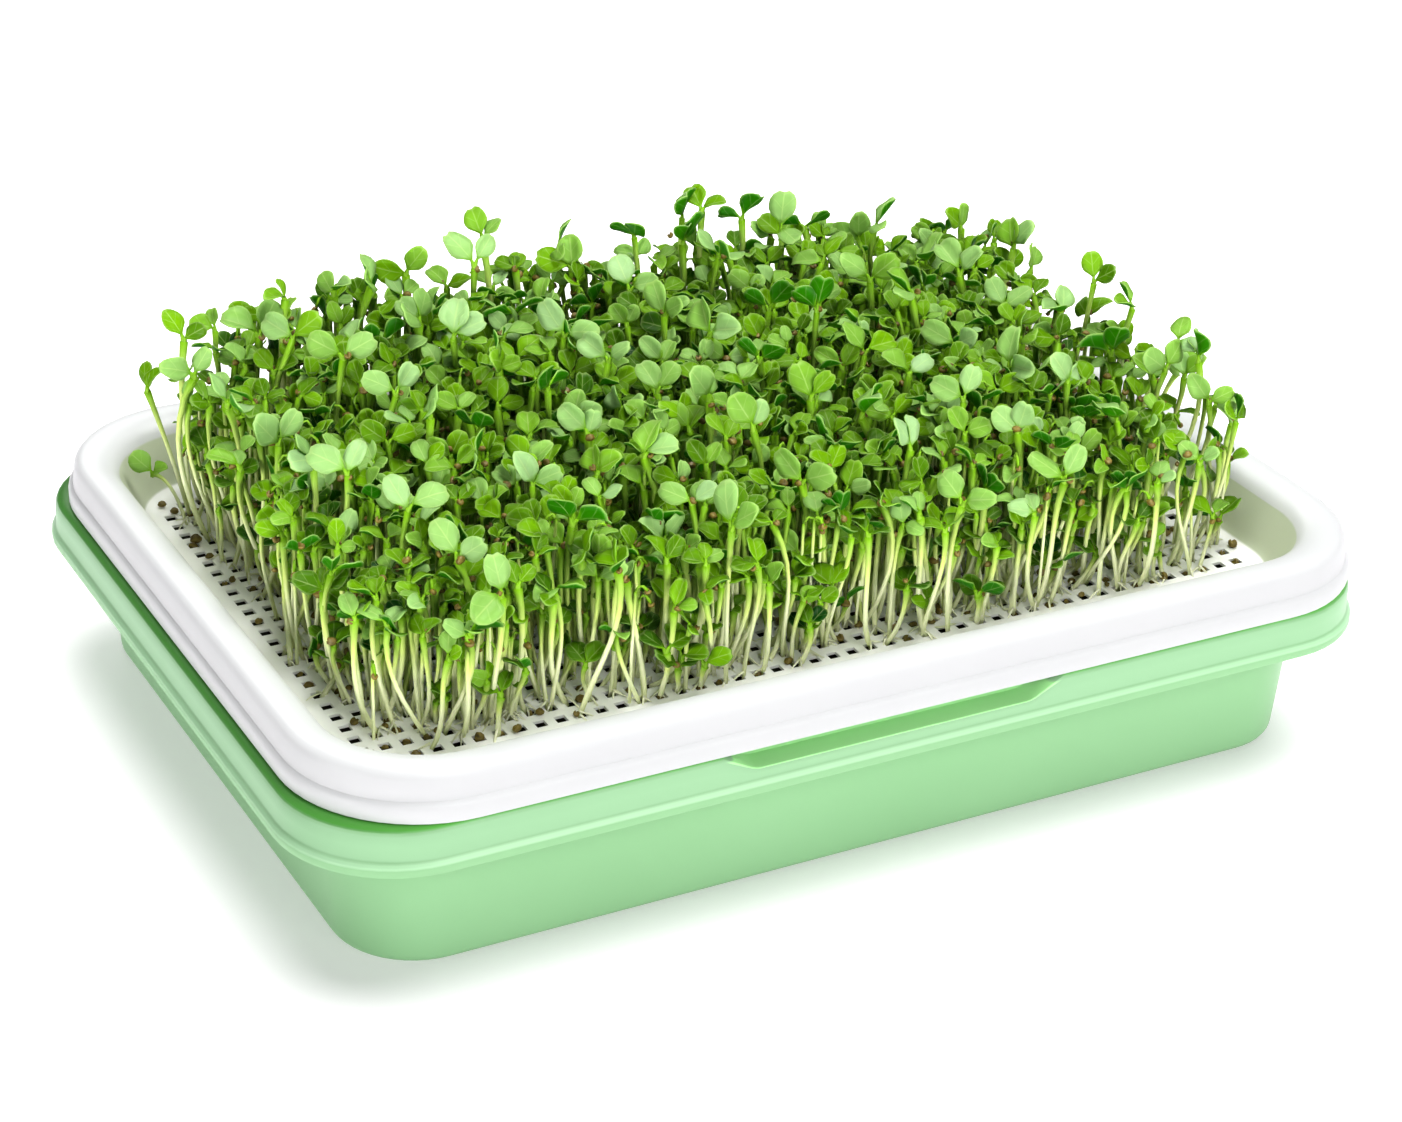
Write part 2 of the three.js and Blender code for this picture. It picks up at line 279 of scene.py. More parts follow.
def finished(surface):
    """A material named after the function that makes its surface from a node tree and colours."""
    material = bpy.data.materials.new(surface.__name__)
    material.use_nodes = True
    tree = material.node_tree
    tree.nodes.clear()
    shader = surface(tree, bpy.context.scene.microgreens_finish)
    add_node(tree, "OutputMaterial", {"Surface": shader})
    return material


def surface_place(tree):
    """Where a point of the surface is, from its object's origin."""
    return add_node(tree, "TexCoord").outputs["Object"]


def attribute(tree, name):
    """A number that the mesh has at each of its points."""
    return add_node(tree, "Attribute", attribute_name=name).outputs["Fac"]


def calculated(tree, operation, *values):
    """The result of an operation on one, two or three numbers."""
    return add_node(tree, "Math", dict(enumerate(values)), operation=operation)


def mapped(tree, value, start, end, first, last, **settings):
    """A number that goes from first to last while the value goes from start to end."""
    return add_node(tree, "MapRange", {
        "Value": value, "From Min": start, "From Max": end, "To Min": first, "To Max": last,
    }, **settings)


def mixed(tree, share, first, second, **settings):
    """The first colour with this share of the second one."""
    return add_node(tree, "Mix", {"Factor": share, "A": first, "B": second},
                    data_type="RGBA", **settings)


def clouded(tree, place, size, first, second, **pattern):
    """A colour that wanders from one to another in patches of this size in millimetres, and
    the noise behind it."""
    cloud = add_node(tree, "TexNoise", {"Vector": place, "Scale": 1 / (size * MM), **pattern})
    return mixed(tree, cloud, first, second), cloud


def set_stops(ramp, first, last, *between):
    """Give a colour ramp its first and last colour, and the stops between them."""
    stops = ramp.color_ramp.elements
    stops[0].color = (*first, 1)
    stops[1].color = (*last, 1)
    for position, colour in between:
        stops.new(position).color = (*colour, 1)


def moulded_plastic(tree, body, deep, gloss_level, roughness, bump, zones):
    """Injection-moulded polypropylene: a fine matt grain, a soft gloss, and an even colour that
    changes only in zones of painted light and shade. A zone is given by its lowest and highest
    height, how far it reaches along X and Y, and its colour."""
    place = surface_place(tree)
    tint, _ = clouded(tree, place, 60, body, deep, Detail=2.0)
    height = add_node(tree, "SeparateXYZ", {"Vector": place}).outputs["Z"]
    across = add_node(tree, "VectorMath", {0: place}, operation="ABSOLUTE")
    # Each zone paints light or shade over the even colour.
    for low, high, reach, colour in zones:
        half = (high - low) / 2
        beside = calculated(tree, "SUBTRACT", height, (low + high) / 2 * MM)
        beside = calculated(tree, "ABSOLUTE", beside)
        level = mapped(tree, beside, half * MM, (half + ZONE_BLEND) * MM, 1.0, 0.0)
        share = add_node(tree, "VectorMath", {0: across, 1: (reach[0] * MM, reach[1] * MM, 1.0)},
                         operation="DIVIDE")
        share = add_node(tree, "SeparateXYZ", {"Vector": share})
        outermost = calculated(tree, "MAXIMUM", share.outputs["X"], share.outputs["Y"])
        within = calculated(tree, "LESS_THAN", outermost, 1.0)
        tint = mixed(tree, calculated(tree, "MULTIPLY", level, within), tint, colour)
    # The mould's own texture is finer than 0.1 mm, so it is drawn as coarse as it needs to show.
    grain = add_node(tree, "TexNoise", {"Vector": place, "Scale": 1 / (0.7 * MM), "Detail": 3.0})
    relief = add_node(tree, "Bump", {"Height": grain, "Strength": bump, "Distance": 0.1 * MM})
    gloss = mapped(tree, grain, 0.0, 1.0, roughness - 0.04, roughness + 0.05)
    return add_node(tree, "BsdfPrincipled", {
        "Base Color": tint, "Roughness": gloss, "IOR": 1.49, "Specular IOR Level": gloss_level,
        "Normal": relief,
    })


def mint_polypropylene(tree, colours):
    """Mint green moulded polypropylene: satin, so the bends of the flange catch soft light. It has
    painted light on the flange's outer face and in the finger notch, a painted highlight along
    the lip's bead, and painted shade on the ledge beside the skirt.
    """
    return moulded_plastic(tree, colours.mint, colours.mint_deep, 0.2, 0.36, 0.12, [
        (43.5, 50.6, EVERYWHERE, colours.mint_band_painted_light), (44.0, 50.0, NOTCH_PAINT_REACH, colours.mint_notch_painted_light),
        (41.8, 42.5, EVERYWHERE, colours.mint_bead_painted_highlight), (52.0, 54.0, EVERYWHERE, colours.mint_ledge_painted_shade),
    ])


def white_polypropylene(tree, colours):
    """White moulded polypropylene: a little matter than the water tray, almost without tint. It has
    painted light on the perforated floor, and on the inner wall beside the bed a painted shade
    tinted green as a painted reflection of the leaves.
    """
    return moulded_plastic(tree, colours.white, colours.white_deep, 0.4, 0.4, 0.1, [
        (MESH_TOP - 2, MESH_TOP + 1, EVERYWHERE, colours.white_mesh_painted_light),
        (MESH_TOP + 1.5, 62.5, INNER_WALL_PAINT_REACH, colours.white_wall_painted_shade),
    ])


def living_tissue(tree, colour, glow, glow_share, roughness, **relief):
    """Plant tissue: a waxy skin over flesh that lets some light through."""
    skin = add_node(tree, "BsdfPrincipled", {
        "Base Color": colour, "Roughness": roughness, "IOR": 1.42, "Specular IOR Level": 0.2,
        **relief,
    })
    through = add_node(tree, "BsdfTranslucent", {"Color": glow, **relief})
    return add_node(tree, "MixShader", {"Fac": glow_share, 1: skin, 2: through})


def seed_leaf(tree, colours):
    """Cotyledon of a brassica sprout: pale waxy green above with a lighter midrib and veins,
    deeper yellow green below, and light shining through it from behind. Pale tones on tall
    sprouts are painted light and deep ones on low sprouts painted shade, the darker underside is
    partly painted shade, and a pale rim along the edge is painted rim light."""
    place = surface_place(tree)
    tone = attribute(tree, "tone")
    uv = add_node(tree, "SeparateXYZ", {"Vector": add_node(tree, "UVMap", uv_map="UVMap")})
    along = uv.outputs["X"]
    # 0 on the midrib, 0.5 at the leaf's edge.
    across = calculated(tree, "ABSOLUTE", calculated(tree, "SUBTRACT", uv.outputs["Y"], 0.5))
    # Side veins leave the midrib at a slant, four to a side.
    vein = calculated(tree, "MULTIPLY_ADD", across, -0.9, along)
    vein = calculated(tree, "PINGPONG", calculated(tree, "MULTIPLY", vein, 4.6), 1.0)
    # A painted rim light makes the edge of the blade as pale as its ribs.
    edge = calculated(tree, "MAXIMUM", calculated(tree, "MULTIPLY", across, 2.0), along)
    smooth = {"interpolation_type": "SMOOTHSTEP"}
    midrib = mapped(tree, across, 0.0, 0.045, 1.0, 0.0, **smooth)
    veins = mapped(tree, vein, 0.0, 0.14, 0.55, 0.0, **smooth)
    # margin is the painted rim light along the blade's edge.
    margin = mapped(tree, edge, 0.88, 1.0, 0.0, 0.9, **smooth)
    ribs = calculated(tree, "MAXIMUM", midrib, veins)
    pale = calculated(tree, "MULTIPLY", calculated(tree, "MAXIMUM", ribs, margin), 0.32)
    mottle = add_node(tree, "TexNoise", {"Vector": place, "Scale": 1 / (2.5 * MM), "Detail": 2.0})
    # The tone ramp: pale for tall sprouts as painted light, deep for low sprouts as painted shade.
    above = add_node(tree, "ValToRGB", {"Fac": tone})
    set_stops(above, colours.leaf_deep_with_painted_shade, colours.leaf_pale_with_painted_light, (0.5, colours.leaf_middle))
    above = mixed(tree, 0.18, above, mottle, blend_type="SOFT_LIGHT")
    # The underside is darker: partly its own colour, partly painted shade.
    body = mixed(tree, attribute(tree, "side"), colours.leaf_under_with_painted_shade, above)
    body = mixed(tree, pale, body, colours.leaf_rib_and_painted_rim)
    # The blade turns yellow green where it runs down into its stalk.
    body = mixed(tree, mapped(tree, along, 0.0, 0.2, 0.8, 0.0), body, colours.stem_top)
    relief = add_node(tree, "Bump", {"Height": ribs, "Strength": 0.25, "Distance": 0.15 * MM})
    glow = mixed(tree, tone, colours.leaf_glow_deep, colours.leaf_glow)
    return living_tissue(tree, body, glow, 0.38, 0.42, Normal=relief)


def sprout_stem(tree, colours):
    """Hypocotyl: nearly white at the foot, yellow green towards the leaves, watery and glossy."""
    along = attribute(tree, "along")
    rise = add_node(tree, "ValToRGB", {"Fac": along})
    set_stops(rise, colours.stem_foot, colours.stem_top,
              (0.4, colours.stem_foot), (0.7, colours.stem_middle))
    # A stem's tone is drawn at random, but a leaf stalk takes its sprout's tone, so stalks of low
    # sprouts are a little darker as painted shade.
    shade = mapped(tree, attribute(tree, "tone"), 0.0, 1.0, 0.86, 1.04)
    shaded = add_node(tree, "VectorMath", {0: rise, "Scale": shade}, operation="SCALE")
    glow = mixed(tree, along, colours.stem_glow, colours.leaf_glow_deep)
    return living_tissue(tree, shaded, glow, 0.34, 0.38)


def root_thread(tree, colours):
    """Roots and root hairs: white threads, matt and a little see-through."""
    tint, _ = clouded(tree, surface_place(tree), 6, colours.root, colours.stem_foot)
    return living_tissue(tree, tint, colours.root, 0.25, 0.6)


def seed_coat(tree, colours):
    """Dry mustard seed coat: olive brown, wrinkled, dull with a faint shine on the ridges."""
    place = surface_place(tree)
    tint, _ = clouded(tree, place, 1.6, colours.husk_dark, colours.husk_light, Detail=4.0)
    wrinkle = add_node(tree, "TexVoronoi", {"Vector": place, "Scale": 1 / (0.5 * MM)})
    relief = add_node(tree, "Bump", {"Height": wrinkle, "Strength": 0.5, "Distance": 0.1 * MM})
    return add_node(tree, "BsdfPrincipled", {
        "Base Color": tint, "Roughness": 0.5, "Normal": relief,
    })


def matted_roots_painted_shade(tree, colours):
    """Felt of roots under the mesh: fibrous and dull, olive brown darkened to near black, partly
    the roots' own colour and partly painted shade, so the holes look dark.
    """
    tint, fibre = clouded(tree, surface_place(tree), 1.5, colours.mat_painted_shade_dark, colours.mat_painted_shade_light,
                          Detail=5.0, Distortion=2.0)
    relief = add_node(tree, "Bump", {"Height": fibre, "Strength": 0.8, "Distance": 0.5 * MM})
    return add_node(tree, "BsdfPrincipled", {
        "Base Color": tint, "Roughness": 0.75, "Normal": relief,
    })


def studio_paper(tree, colours):
    """Matt white paper sweep, with a faint cloudiness so that it isn't one flat value. It glows
    a little, as paper that is lit from all round does."""
    tint, _ = clouded(tree, surface_place(tree), 400, colours.floor, colours.floor_light)
    return add_node(tree, "BsdfPrincipled", {
        "Base Color": tint, "Roughness": 0.9, "Specular IOR Level": 0.1,
        "Emission Color": WHITE, "Emission Strength": 0.42,
    })


# ---- Settings -----------------------------------------------------------------------------


def length_setting(name, millimetres, description):
    """A length that a user can change, given in millimetres."""
    return FloatProperty(name=name, description=description, default=millimetres * MM, min=0.0,
                         unit="LENGTH", subtype="DISTANCE", precision=4)


def colour_setting(name, code, description):
    """A colour that a user can change, given as an sRGB hex value."""
    return FloatVectorProperty(name=name, description=description, default=linear(code), size=3,
                               min=0.0, max=1.0, subtype="COLOR")


class WaterTraySettings(bpy.types.PropertyGroup):
    half_length: length_setting("Half length", 152, "Half of the base's length")
    half_width: length_setting("Half width", 106.5, "Half of the base's width")
    radius: length_setting("Corner radius", 22.5, "Corner radius of the base outline")
    wall: length_setting("Wall", 1.8, "Thickness of the moulded wall")
    corner_steps: IntProperty(name="Corner steps", description="Flats in each rounded corner",
                              default=12, min=4)


class MeshTraySettings(bpy.types.PropertyGroup):
    half_length: length_setting("Half length", 170, "Half of the skirt's length")
    half_width: length_setting("Half width", 123, "Half of the skirt's width")
    radius: length_setting("Corner radius", 40, "Corner radius of the skirt's foot")
    wall: length_setting("Wall", 1.6, "Thickness of the moulded wall")
    corner_steps: IntProperty(name="Corner steps", description="Flats in each rounded corner",
                              default=14, min=4)
    hole_side: length_setting("Hole side", 3.3, "Side of a square drain hole")
    hole_pitch_x: length_setting("Hole pitch along", 6.15, "Distance between holes along the tray")
    hole_pitch_y: length_setting("Hole pitch across", 6.6, "Distance between holes across the tray")
    hole_margin: length_setting("Hole margin", 3.3,
                                "From the middle of a hole to the edge of the floor")
    hole_columns: IntProperty(name="Hole columns", description="Holes along the tray",
                              default=47, min=3)
    hole_rows: IntProperty(name="Hole rows", description="Holes across the tray", default=27, min=3)


class SproutSettings(bpy.types.PropertyGroup):
    spacing: length_setting("Spacing", 5.1, "Mean distance between sprouts in the bed")
    canopy_front: length_setting("Canopy at the front", 47,
                                 "Height of the leaves over the mesh, in front")
    canopy_rise: length_setting("Canopy rise", 17, "How much the leaves rise towards the back")
    canopy_left: length_setting("Canopy drop, left", 8, "How much the leaves drop at the left end")
    canopy_right: length_setting("Canopy drop, right", 14, "How much the leaves drop, back right")
    stem_radius: length_setting("Stem radius", 0.82, "Radius of a stem halfway up")
    leaf_length: length_setting("Leaf length", 10.0, "Length of the larger seed leaf")
    leaf_thickness: length_setting("Leaf thickness", 0.45, "Thickness of a seed leaf")
    husk_length: length_setting("Husk length", 2.8, "Length of a shed seed coat")
    seed: IntProperty(name="Seed", description="Start of the random draws", default=7)


class FinishSettings(bpy.types.PropertyGroup):
    mint: colour_setting("Mint", "97c195", "Water tray")
    mint_deep: colour_setting("Mint, deep", "8fbb8d", "Slightly deeper patches of the water tray")
    # The ledge colour is painted shade: darker and greener beside the skirt.
    mint_ledge_painted_shade: colour_setting("Mint, ledge", "70c05c", "Ledge of the water tray, beside the skirt")
    # The band colour is painted light on the outer face of the flange.
    mint_band_painted_light: colour_setting("Mint, band", "9bc39b", "Outer face of the flange")
    # The notch colour is painted light on the notch's floor, which lies in the skirt's shade.
    mint_notch_painted_light: colour_setting("Mint, notch", "b8f6ac",
                               "Floor of the finger notch, lit through its wall")
    # The bead colour is a painted highlight: a bright line along the lip.
    mint_bead_painted_highlight: colour_setting("Mint, bead", "b6dfb6", "Thin bead along the water tray's lip")
    white: colour_setting("White", "d4d5d5", "Mesh tray")
    # The mesh colour is painted light on the perforated floor, which lies in the shade of the
    # leaves.
    white_mesh_painted_light: colour_setting("White, mesh", "fafaf8", "Thin perforated floor of the mesh tray")
    # The wall colour is painted shade, tinted green as a painted reflection of the leaves.
    white_wall_painted_shade: colour_setting("White, wall", "c2c9b2", "Inner wall of the mesh tray, by the bed")
    white_deep: colour_setting("White, deep", "cfd0d1", "Slightly deeper patches of the mesh tray")
    # Leaf tones: tall sprouts take the pale end as painted light, low sprouts the deep end as
    # painted shade; within a tier the tone varies at random.
    leaf_pale_with_painted_light: colour_setting("Leaf, pale", "a4c48e", "Upper side of a pale leaf")
    leaf_middle: colour_setting("Leaf, middle", "78a806", "Upper side of a leaf between the two")
    leaf_deep_with_painted_shade: colour_setting("Leaf, deep", "0c4400", "Upper side of a deep green leaf")
    # The underside colour is partly the leaf's own and partly painted shade.
    leaf_under_with_painted_shade: colour_setting("Leaf, underside", "287000", "Underside of a leaf")
    # The rib colour also paints a rim light along the blade's edge.
    leaf_rib_and_painted_rim: colour_setting("Leaf rib", "cfe694", "Midrib and veins")
    leaf_glow: colour_setting("Leaf glow", "98d008", "Light shining through a pale leaf")
    leaf_glow_deep: colour_setting("Leaf glow, deep", "288600",
                                   "Light shining through a deep green leaf")
    stem_foot: colour_setting("Stem, foot", "fafbd8", "Lower half of a stem")
    stem_middle: colour_setting("Stem, middle", "e2f094", "Upper middle of a stem")
    stem_top: colour_setting("Stem, top", "84b81a", "Top of a stem and leaf stalks")
    stem_glow: colour_setting("Stem glow", "ecf8a0", "Light shining through a stem")
    root: colour_setting("Root", "f1f2e2", "Root threads")
    husk_dark: colour_setting("Husk, dark", "2c240a", "Dark patches of a seed coat")
    husk_light: colour_setting("Husk, light", "8c7a2c", "Light patches of a seed coat")
    # The root mat's fibres are near black: partly the roots' own colour, partly painted shade under
    # the mesh.
    mat_painted_shade_dark: colour_setting("Root mat, dark", "17130a", "Dark fibres of the matted roots")
    mat_painted_shade_light: colour_setting("Root mat, light", "453d26", "Light fibres of the matted roots")
    floor: colour_setting("Floor", "d6d3d6", "Paper under the tray")
    floor_light: colour_setting("Floor, light", "dad7da", "Slightly lighter patches of the paper")


# ---- Modelling helpers --------------------------------------------------------------------


def deselect_all():
    """Leave edit mode and select nothing, because an operator acts on all that is selected."""
    if bpy.context.object and bpy.context.object.mode != "OBJECT":
        bpy.ops.object.mode_set(mode="OBJECT")
    bpy.ops.object.select_all(action="DESELECT")


def select_faces(piece, wanted):
    """In edit mode, select just the faces for which wanted(face) is true."""
    bpy.ops.mesh.select_all(action="DESELECT")
    bpy.ops.mesh.select_mode(type="FACE")
    shape = bmesh.from_edit_mesh(piece.data)
    for face in shape.faces:
        face.select_set(wanted(face))
    bmesh.update_edit_mesh(piece.data)


def apply_modifier(piece, kind, **settings):
    """Give the active piece a modifier with these settings and apply it."""
    modifier = piece.modifiers.new(kind.title(), kind)
    for name, value in settings.items():
        setattr(modifier, name, value)
    bpy.ops.object.modifier_apply(modifier=modifier.name)


def add_outline(half_length, half_width, radius, height, shift, steps):
    """In edit mode, add the outline of a rounded rectangle and note it as a vertex group."""
    centre = (shift[0], shift[1], height)
    bpy.ops.mesh.select_all(action="DESELECT")
    bpy.ops.mesh.primitive_plane_add(size=2, location=centre)
    bpy.ops.transform.resize(value=(half_length, half_width, 1), center_override=centre)
    bpy.ops.mesh.bevel(offset=radius, segments=steps, affect="VERTICES", clamp_overlap=False)
    bpy.ops.object.vertex_group_assign_new()
    bpy.ops.mesh.delete(type="ONLY_FACE")


def select_outlines(piece, numbers):
    """In edit mode, select just the noted outlines with these numbers."""
    bpy.ops.mesh.select_all(action="DESELECT")
    bpy.ops.mesh.select_mode(type="VERT")
    for number in numbers:
        piece.vertex_groups.active_index = number
        bpy.ops.object.vertex_group_select()


def bridge_outlines(piece, count):
    """In edit mode, join each noted outline to the next one with a band of faces."""
    for number in range(count - 1):
        select_outlines(piece, (number, number + 1))
        bpy.ops.mesh.bridge_edge_loops()


def start_piece(name):
    """A new piece at the origin, empty and open in edit mode."""
    deselect_all()
    bpy.ops.mesh.primitive_plane_add(size=1, location=(0, 0, 0))
    piece = bpy.context.object
    piece.name = name
    piece.data.name = name
    bpy.ops.object.mode_set(mode="EDIT")
    bpy.ops.mesh.select_mode(type="VERT")
    bpy.ops.mesh.select_all(action="SELECT")
    bpy.ops.mesh.delete(type="VERT")
    return piece


def finish_sheet(piece, thickness):
    """Turn the sheet's faces upwards and outwards, give it its wall, and smooth it."""
    bpy.ops.mesh.select_mode(type="VERT")
    bpy.ops.mesh.select_all(action="SELECT")
    bpy.ops.mesh.remove_doubles(threshold=0.01 * MM)
    bpy.ops.mesh.normals_make_consistent(inside=False)
    bpy.ops.object.mode_set(mode="OBJECT")
    flat = max(piece.data.polygons, key=lambda face: face.area)
    if flat.normal.z < 0:
        piece.data.flip_normals()
    piece.vertex_groups.clear()
    apply_modifier(piece, "SOLIDIFY", thickness=thickness, offset=-1, use_even_offset=True)
    bpy.ops.object.shade_smooth_by_angle(angle=SMOOTH_ANGLE)


def hand_over(piece, material, slot, *nodes):
    """Give a finished piece its material, and tell the frame what it rides on and replaces."""
    for each in material if isinstance(material, list) else [material]:
        piece.data.materials.append(each)
    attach(piece, "root")
    if nodes:
        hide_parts(*nodes)


# ---- Trays --------------------------------------------------------------------------------


def press_notch(piece, half_width):
    """Cut the front of the ledge at the notch's ends, then press its stations to their places."""
    def in_front(centre):
        return centre.y < -0.9 * half_width and abs(centre.x) < NOTCH_SPAN * MM

    ledge_front = -(half_width + WATER_LEDGE[0][0] * BASE_GROWTH_WIDTH * MM)
    for side in (-1, 1):
        for end in NOTCH_ENDS:
            select_faces(piece, lambda face: in_front(face.calc_center_median()))
            cut = (NOTCH_CENTRE_X + side * end) * MM
            bpy.ops.mesh.bisect(plane_co=(cut, 0, 0), plane_no=(1, 0, 0))
    bpy.ops.object.mode_set(mode="OBJECT")
    for vertex in piece.data.vertices:
        press = np.interp(abs(vertex.co.x / MM - NOTCH_CENTRE_X), NOTCH_ENDS, NOTCH_PRESS)
        if vertex.co.y > ledge_front + 0.5 * MM or press == 0:
            continue
        out = (-vertex.co.y - half_width) / MM / BASE_GROWTH_WIDTH
        height = vertex.co.z / MM
        gaps = [math.hypot(out - station[0], height - station[1]) for station in WATER_LEDGE]
        number = gaps.index(min(gaps))
        if gaps[number] < 0.1:
            new_out = out + press * (NOTCH_LEDGE[number][0] - out)
            vertex.co.y = -(half_width + new_out * BASE_GROWTH_WIDTH * MM)
            vertex.co.z = (height + press * (NOTCH_LEDGE[number][1] - height)) * MM
    bpy.ops.object.mode_set(mode="EDIT")


def build_water_tray():
    """Stack the outlines of the section, join them, close the base and press the notch."""
    sizes = bpy.context.scene.microgreens_water
    section = WATER_FLOOR + WATER_WALL + WATER_LEDGE + WATER_LIP
    piece = start_piece("water_tray_shell")
    for out, height in section:
        add_outline(sizes.half_length + out * MM, sizes.half_width + out * BASE_GROWTH_WIDTH * MM,
                    sizes.radius + out * BASE_GROWTH_RADIUS * MM, height * MM, (0, 0),
                    sizes.corner_steps)
    bridge_outlines(piece, len(section))
    select_outlines(piece, (0,))
    bpy.ops.mesh.edge_face_add()
    press_notch(piece, sizes.half_width)
    finish_sheet(piece, sizes.wall)
    hand_over(piece, finished(mint_polypropylene), "mint_plastic", "water_tray")


def inside_mesh_floor(x, y, sizes):
    """True where a hole at (x, y) from the tray's middle keeps its margin to the floor's edge."""
    reach = MESH_EDGE_OUT * MM
    radius = sizes.radius + reach * SKIRT_GROWTH_RADIUS - sizes.hole_margin
    corner_x = abs(x) - (sizes.half_length + reach - sizes.hole_margin - radius)
    half_width = sizes.half_width + reach * SKIRT_GROWTH_WIDTH
    corner_y = abs(y) - (half_width - sizes.hole_margin - radius)
    return math.hypot(max(0, corner_x), max(0, corner_y)) <= radius


def add_floor_grid(piece, sizes, columns, rows, height):
    """In edit mode, add a grid as large as the field of holes and drop its rounded corners."""
    centre = (TRAY_SHIFT[0] * MM, TRAY_SHIFT[1] * MM, height * MM)
    bpy.ops.mesh.select_all(action="DESELECT")
    bpy.ops.mesh.primitive_grid_add(x_subdivisions=columns, y_subdivisions=rows, size=2,
                                    location=centre)
    reach = (sizes.hole_columns * sizes.hole_pitch_x / 2,
             sizes.hole_rows * sizes.hole_pitch_y / 2, 1)
    bpy.ops.transform.resize(value=reach, center_override=centre)
    select_faces(piece, lambda face: not inside_mesh_floor(
        face.calc_center_median().x - centre[0], face.calc_center_median().y - centre[1], sizes))
    bpy.ops.mesh.delete(type="FACE")


def add_mesh_floor(piece, sizes, shift):
    """In edit mode, add the floor: a grid of cells with a border out to the rounded outline."""
    add_floor_grid(piece, sizes, sizes.hole_columns, sizes.hole_rows, MESH_TOP)
    add_mesh_outline(sizes, MESH_SECTION[0], shift)
    bpy.ops.mesh.select_mode(type="EDGE")
    bpy.ops.mesh.select_non_manifold(extend=False)
    bpy.ops.mesh.fill(use_beauty=True)


def open_holes(piece, sizes):
    """In edit mode, inset each cell of the floor and take its middle out."""
    select_faces(piece, lambda face: len(face.verts) == 4)
    bpy.ops.mesh.inset(thickness=(sizes.hole_pitch_x - sizes.hole_side) / 2, use_individual=True)
    # The inset is the same all round, so each opening is still too long across the tray.
    shape = bmesh.from_edit_mesh(piece.data)
    for face in [face for face in shape.faces if face.select]:
        middle = face.calc_center_median()
        for vertex in face.verts:
            vertex.co.y = middle.y + math.copysign(sizes.hole_side / 2, vertex.co.y - middle.y)
    bmesh.update_edit_mesh(piece.data)
    bpy.ops.mesh.delete(type="FACE")


def add_mesh_outline(sizes, station, shift):
    """In edit mode, add the outline of the mesh tray at one station of its section."""
    out, height = station
    add_outline(sizes.half_length + out * MM, sizes.half_width + out * SKIRT_GROWTH_WIDTH * MM,
                sizes.radius + out * SKIRT_GROWTH_RADIUS * MM, height * MM, shift,
                sizes.corner_steps)


def build_mesh_tray():
    """Build the floor, open its holes, and join the outlines up to the rim and down the skirt."""
    sizes = bpy.context.scene.microgreens_mesh
    shift = (TRAY_SHIFT[0] * MM, TRAY_SHIFT[1] * MM)
    piece = start_piece("mesh_tray_shell")
    add_mesh_floor(piece, sizes, shift)
    open_holes(piece, sizes)
    for station in MESH_SECTION[1:]:
        add_mesh_outline(sizes, station, shift)
    bridge_outlines(piece, len(MESH_SECTION))
    finish_sheet(piece, sizes.wall)
    underside = MESH_TOP * MM - sizes.wall
    for vertex in piece.data.vertices:
        if abs(vertex.co.z - underside) < 0.05 * MM:
            vertex.co.z = (MESH_TOP - MESH_THICKNESS) * MM
    hand_over(piece, finished(white_polypropylene), "white_plastic", "mesh_tray")


# ---- Root mat, darkened as painted shade --------------------------------------------------


def build_root_mat_painted_shade():
    """Roots that came through the holes hang as a thin lumpy mat under the mesh. Its near-black
    colour is painted shade, so the holes look dark.
    """
    sizes = bpy.context.scene.microgreens_mesh
    piece = start_piece("root_mat_painted_shade")
    add_floor_grid(piece, sizes, *ROOT_MAT_CELLS, ROOT_MAT_TOP)
    bpy.ops.object.mode_set(mode="OBJECT")
    for vertex in piece.data.vertices:
        lump = noise.noise(vertex.co / (ROOT_MAT_LUMP * MM))
        vertex.co.z += (lump - 1.0) * MM
    apply_modifier(piece, "SOLIDIFY", thickness=ROOT_MAT_THICKNESS * MM, offset=-1)
    bpy.ops.object.shade_smooth()
    hand_over(piece, finished(matted_roots_painted_shade), "husk_brown")


# ---- Masters of the sprout's parts --------------------------------------------------------

LEAF, STEM, ROOT = 0, 1, 2          # material slots of a sprout piece


def note_attributes(piece, material_slot, along, side):
    """Give a master the attributes that its materials read, and its material slot."""
    mesh = piece.data
    for name, values in (("tone", None), ("along", along), ("side", side)):
        attribute = mesh.attributes.new(name, "FLOAT", "POINT")
        if values is not None:
            attribute.data.foreach_set("value", np.asarray(values, dtype=np.float32))
    for face in mesh.polygons:
        face.material_index = material_slot
        face.use_smooth = True
    if not mesh.uv_layers:
        mesh.uv_layers.new(name="UVMap")
    mesh.uv_layers[0].name = "UVMap"


def coordinates(mesh):
    """The places of a mesh's points as an array with a row for each."""
    places = np.empty(len(mesh.vertices) * 3, dtype=np.float32)
    mesh.vertices.foreach_get("co", places)
    return places.reshape(-1, 3).astype(np.float64)


def leaf_master(along, across, thickness):
    """Flat seed leaf of unit length and width: a grid rounded into an egg-shaped blade, with
    its narrow foot at the origin and its round tip at +X."""
    deselect_all()
    bpy.ops.mesh.primitive_grid_add(x_subdivisions=along, y_subdivisions=across, size=2)
    piece = bpy.context.object
    for vertex in piece.data.vertices:
        x, y = vertex.co.x, vertex.co.y
        round_x = x * math.sqrt(1 - y * y / 2)
        round_y = y * math.sqrt(1 - x * x / 2)
        share = (round_x + 1) / 2
        foot = min(1.0, share / BLADE_FOOT[0])
        width = BLADE_FOOT[1] + BLADE_FOOT[2] * foot * foot * (3 - 2 * foot)
        vertex.co = (share, 0.5 * round_y * width, 0)
    apply_modifier(piece, "SOLIDIFY", thickness=thickness, offset=0)
    places = coordinates(piece.data)
    note_attributes(piece, LEAF, np.ones(len(places)), places[:, 2] > 0)
    return piece


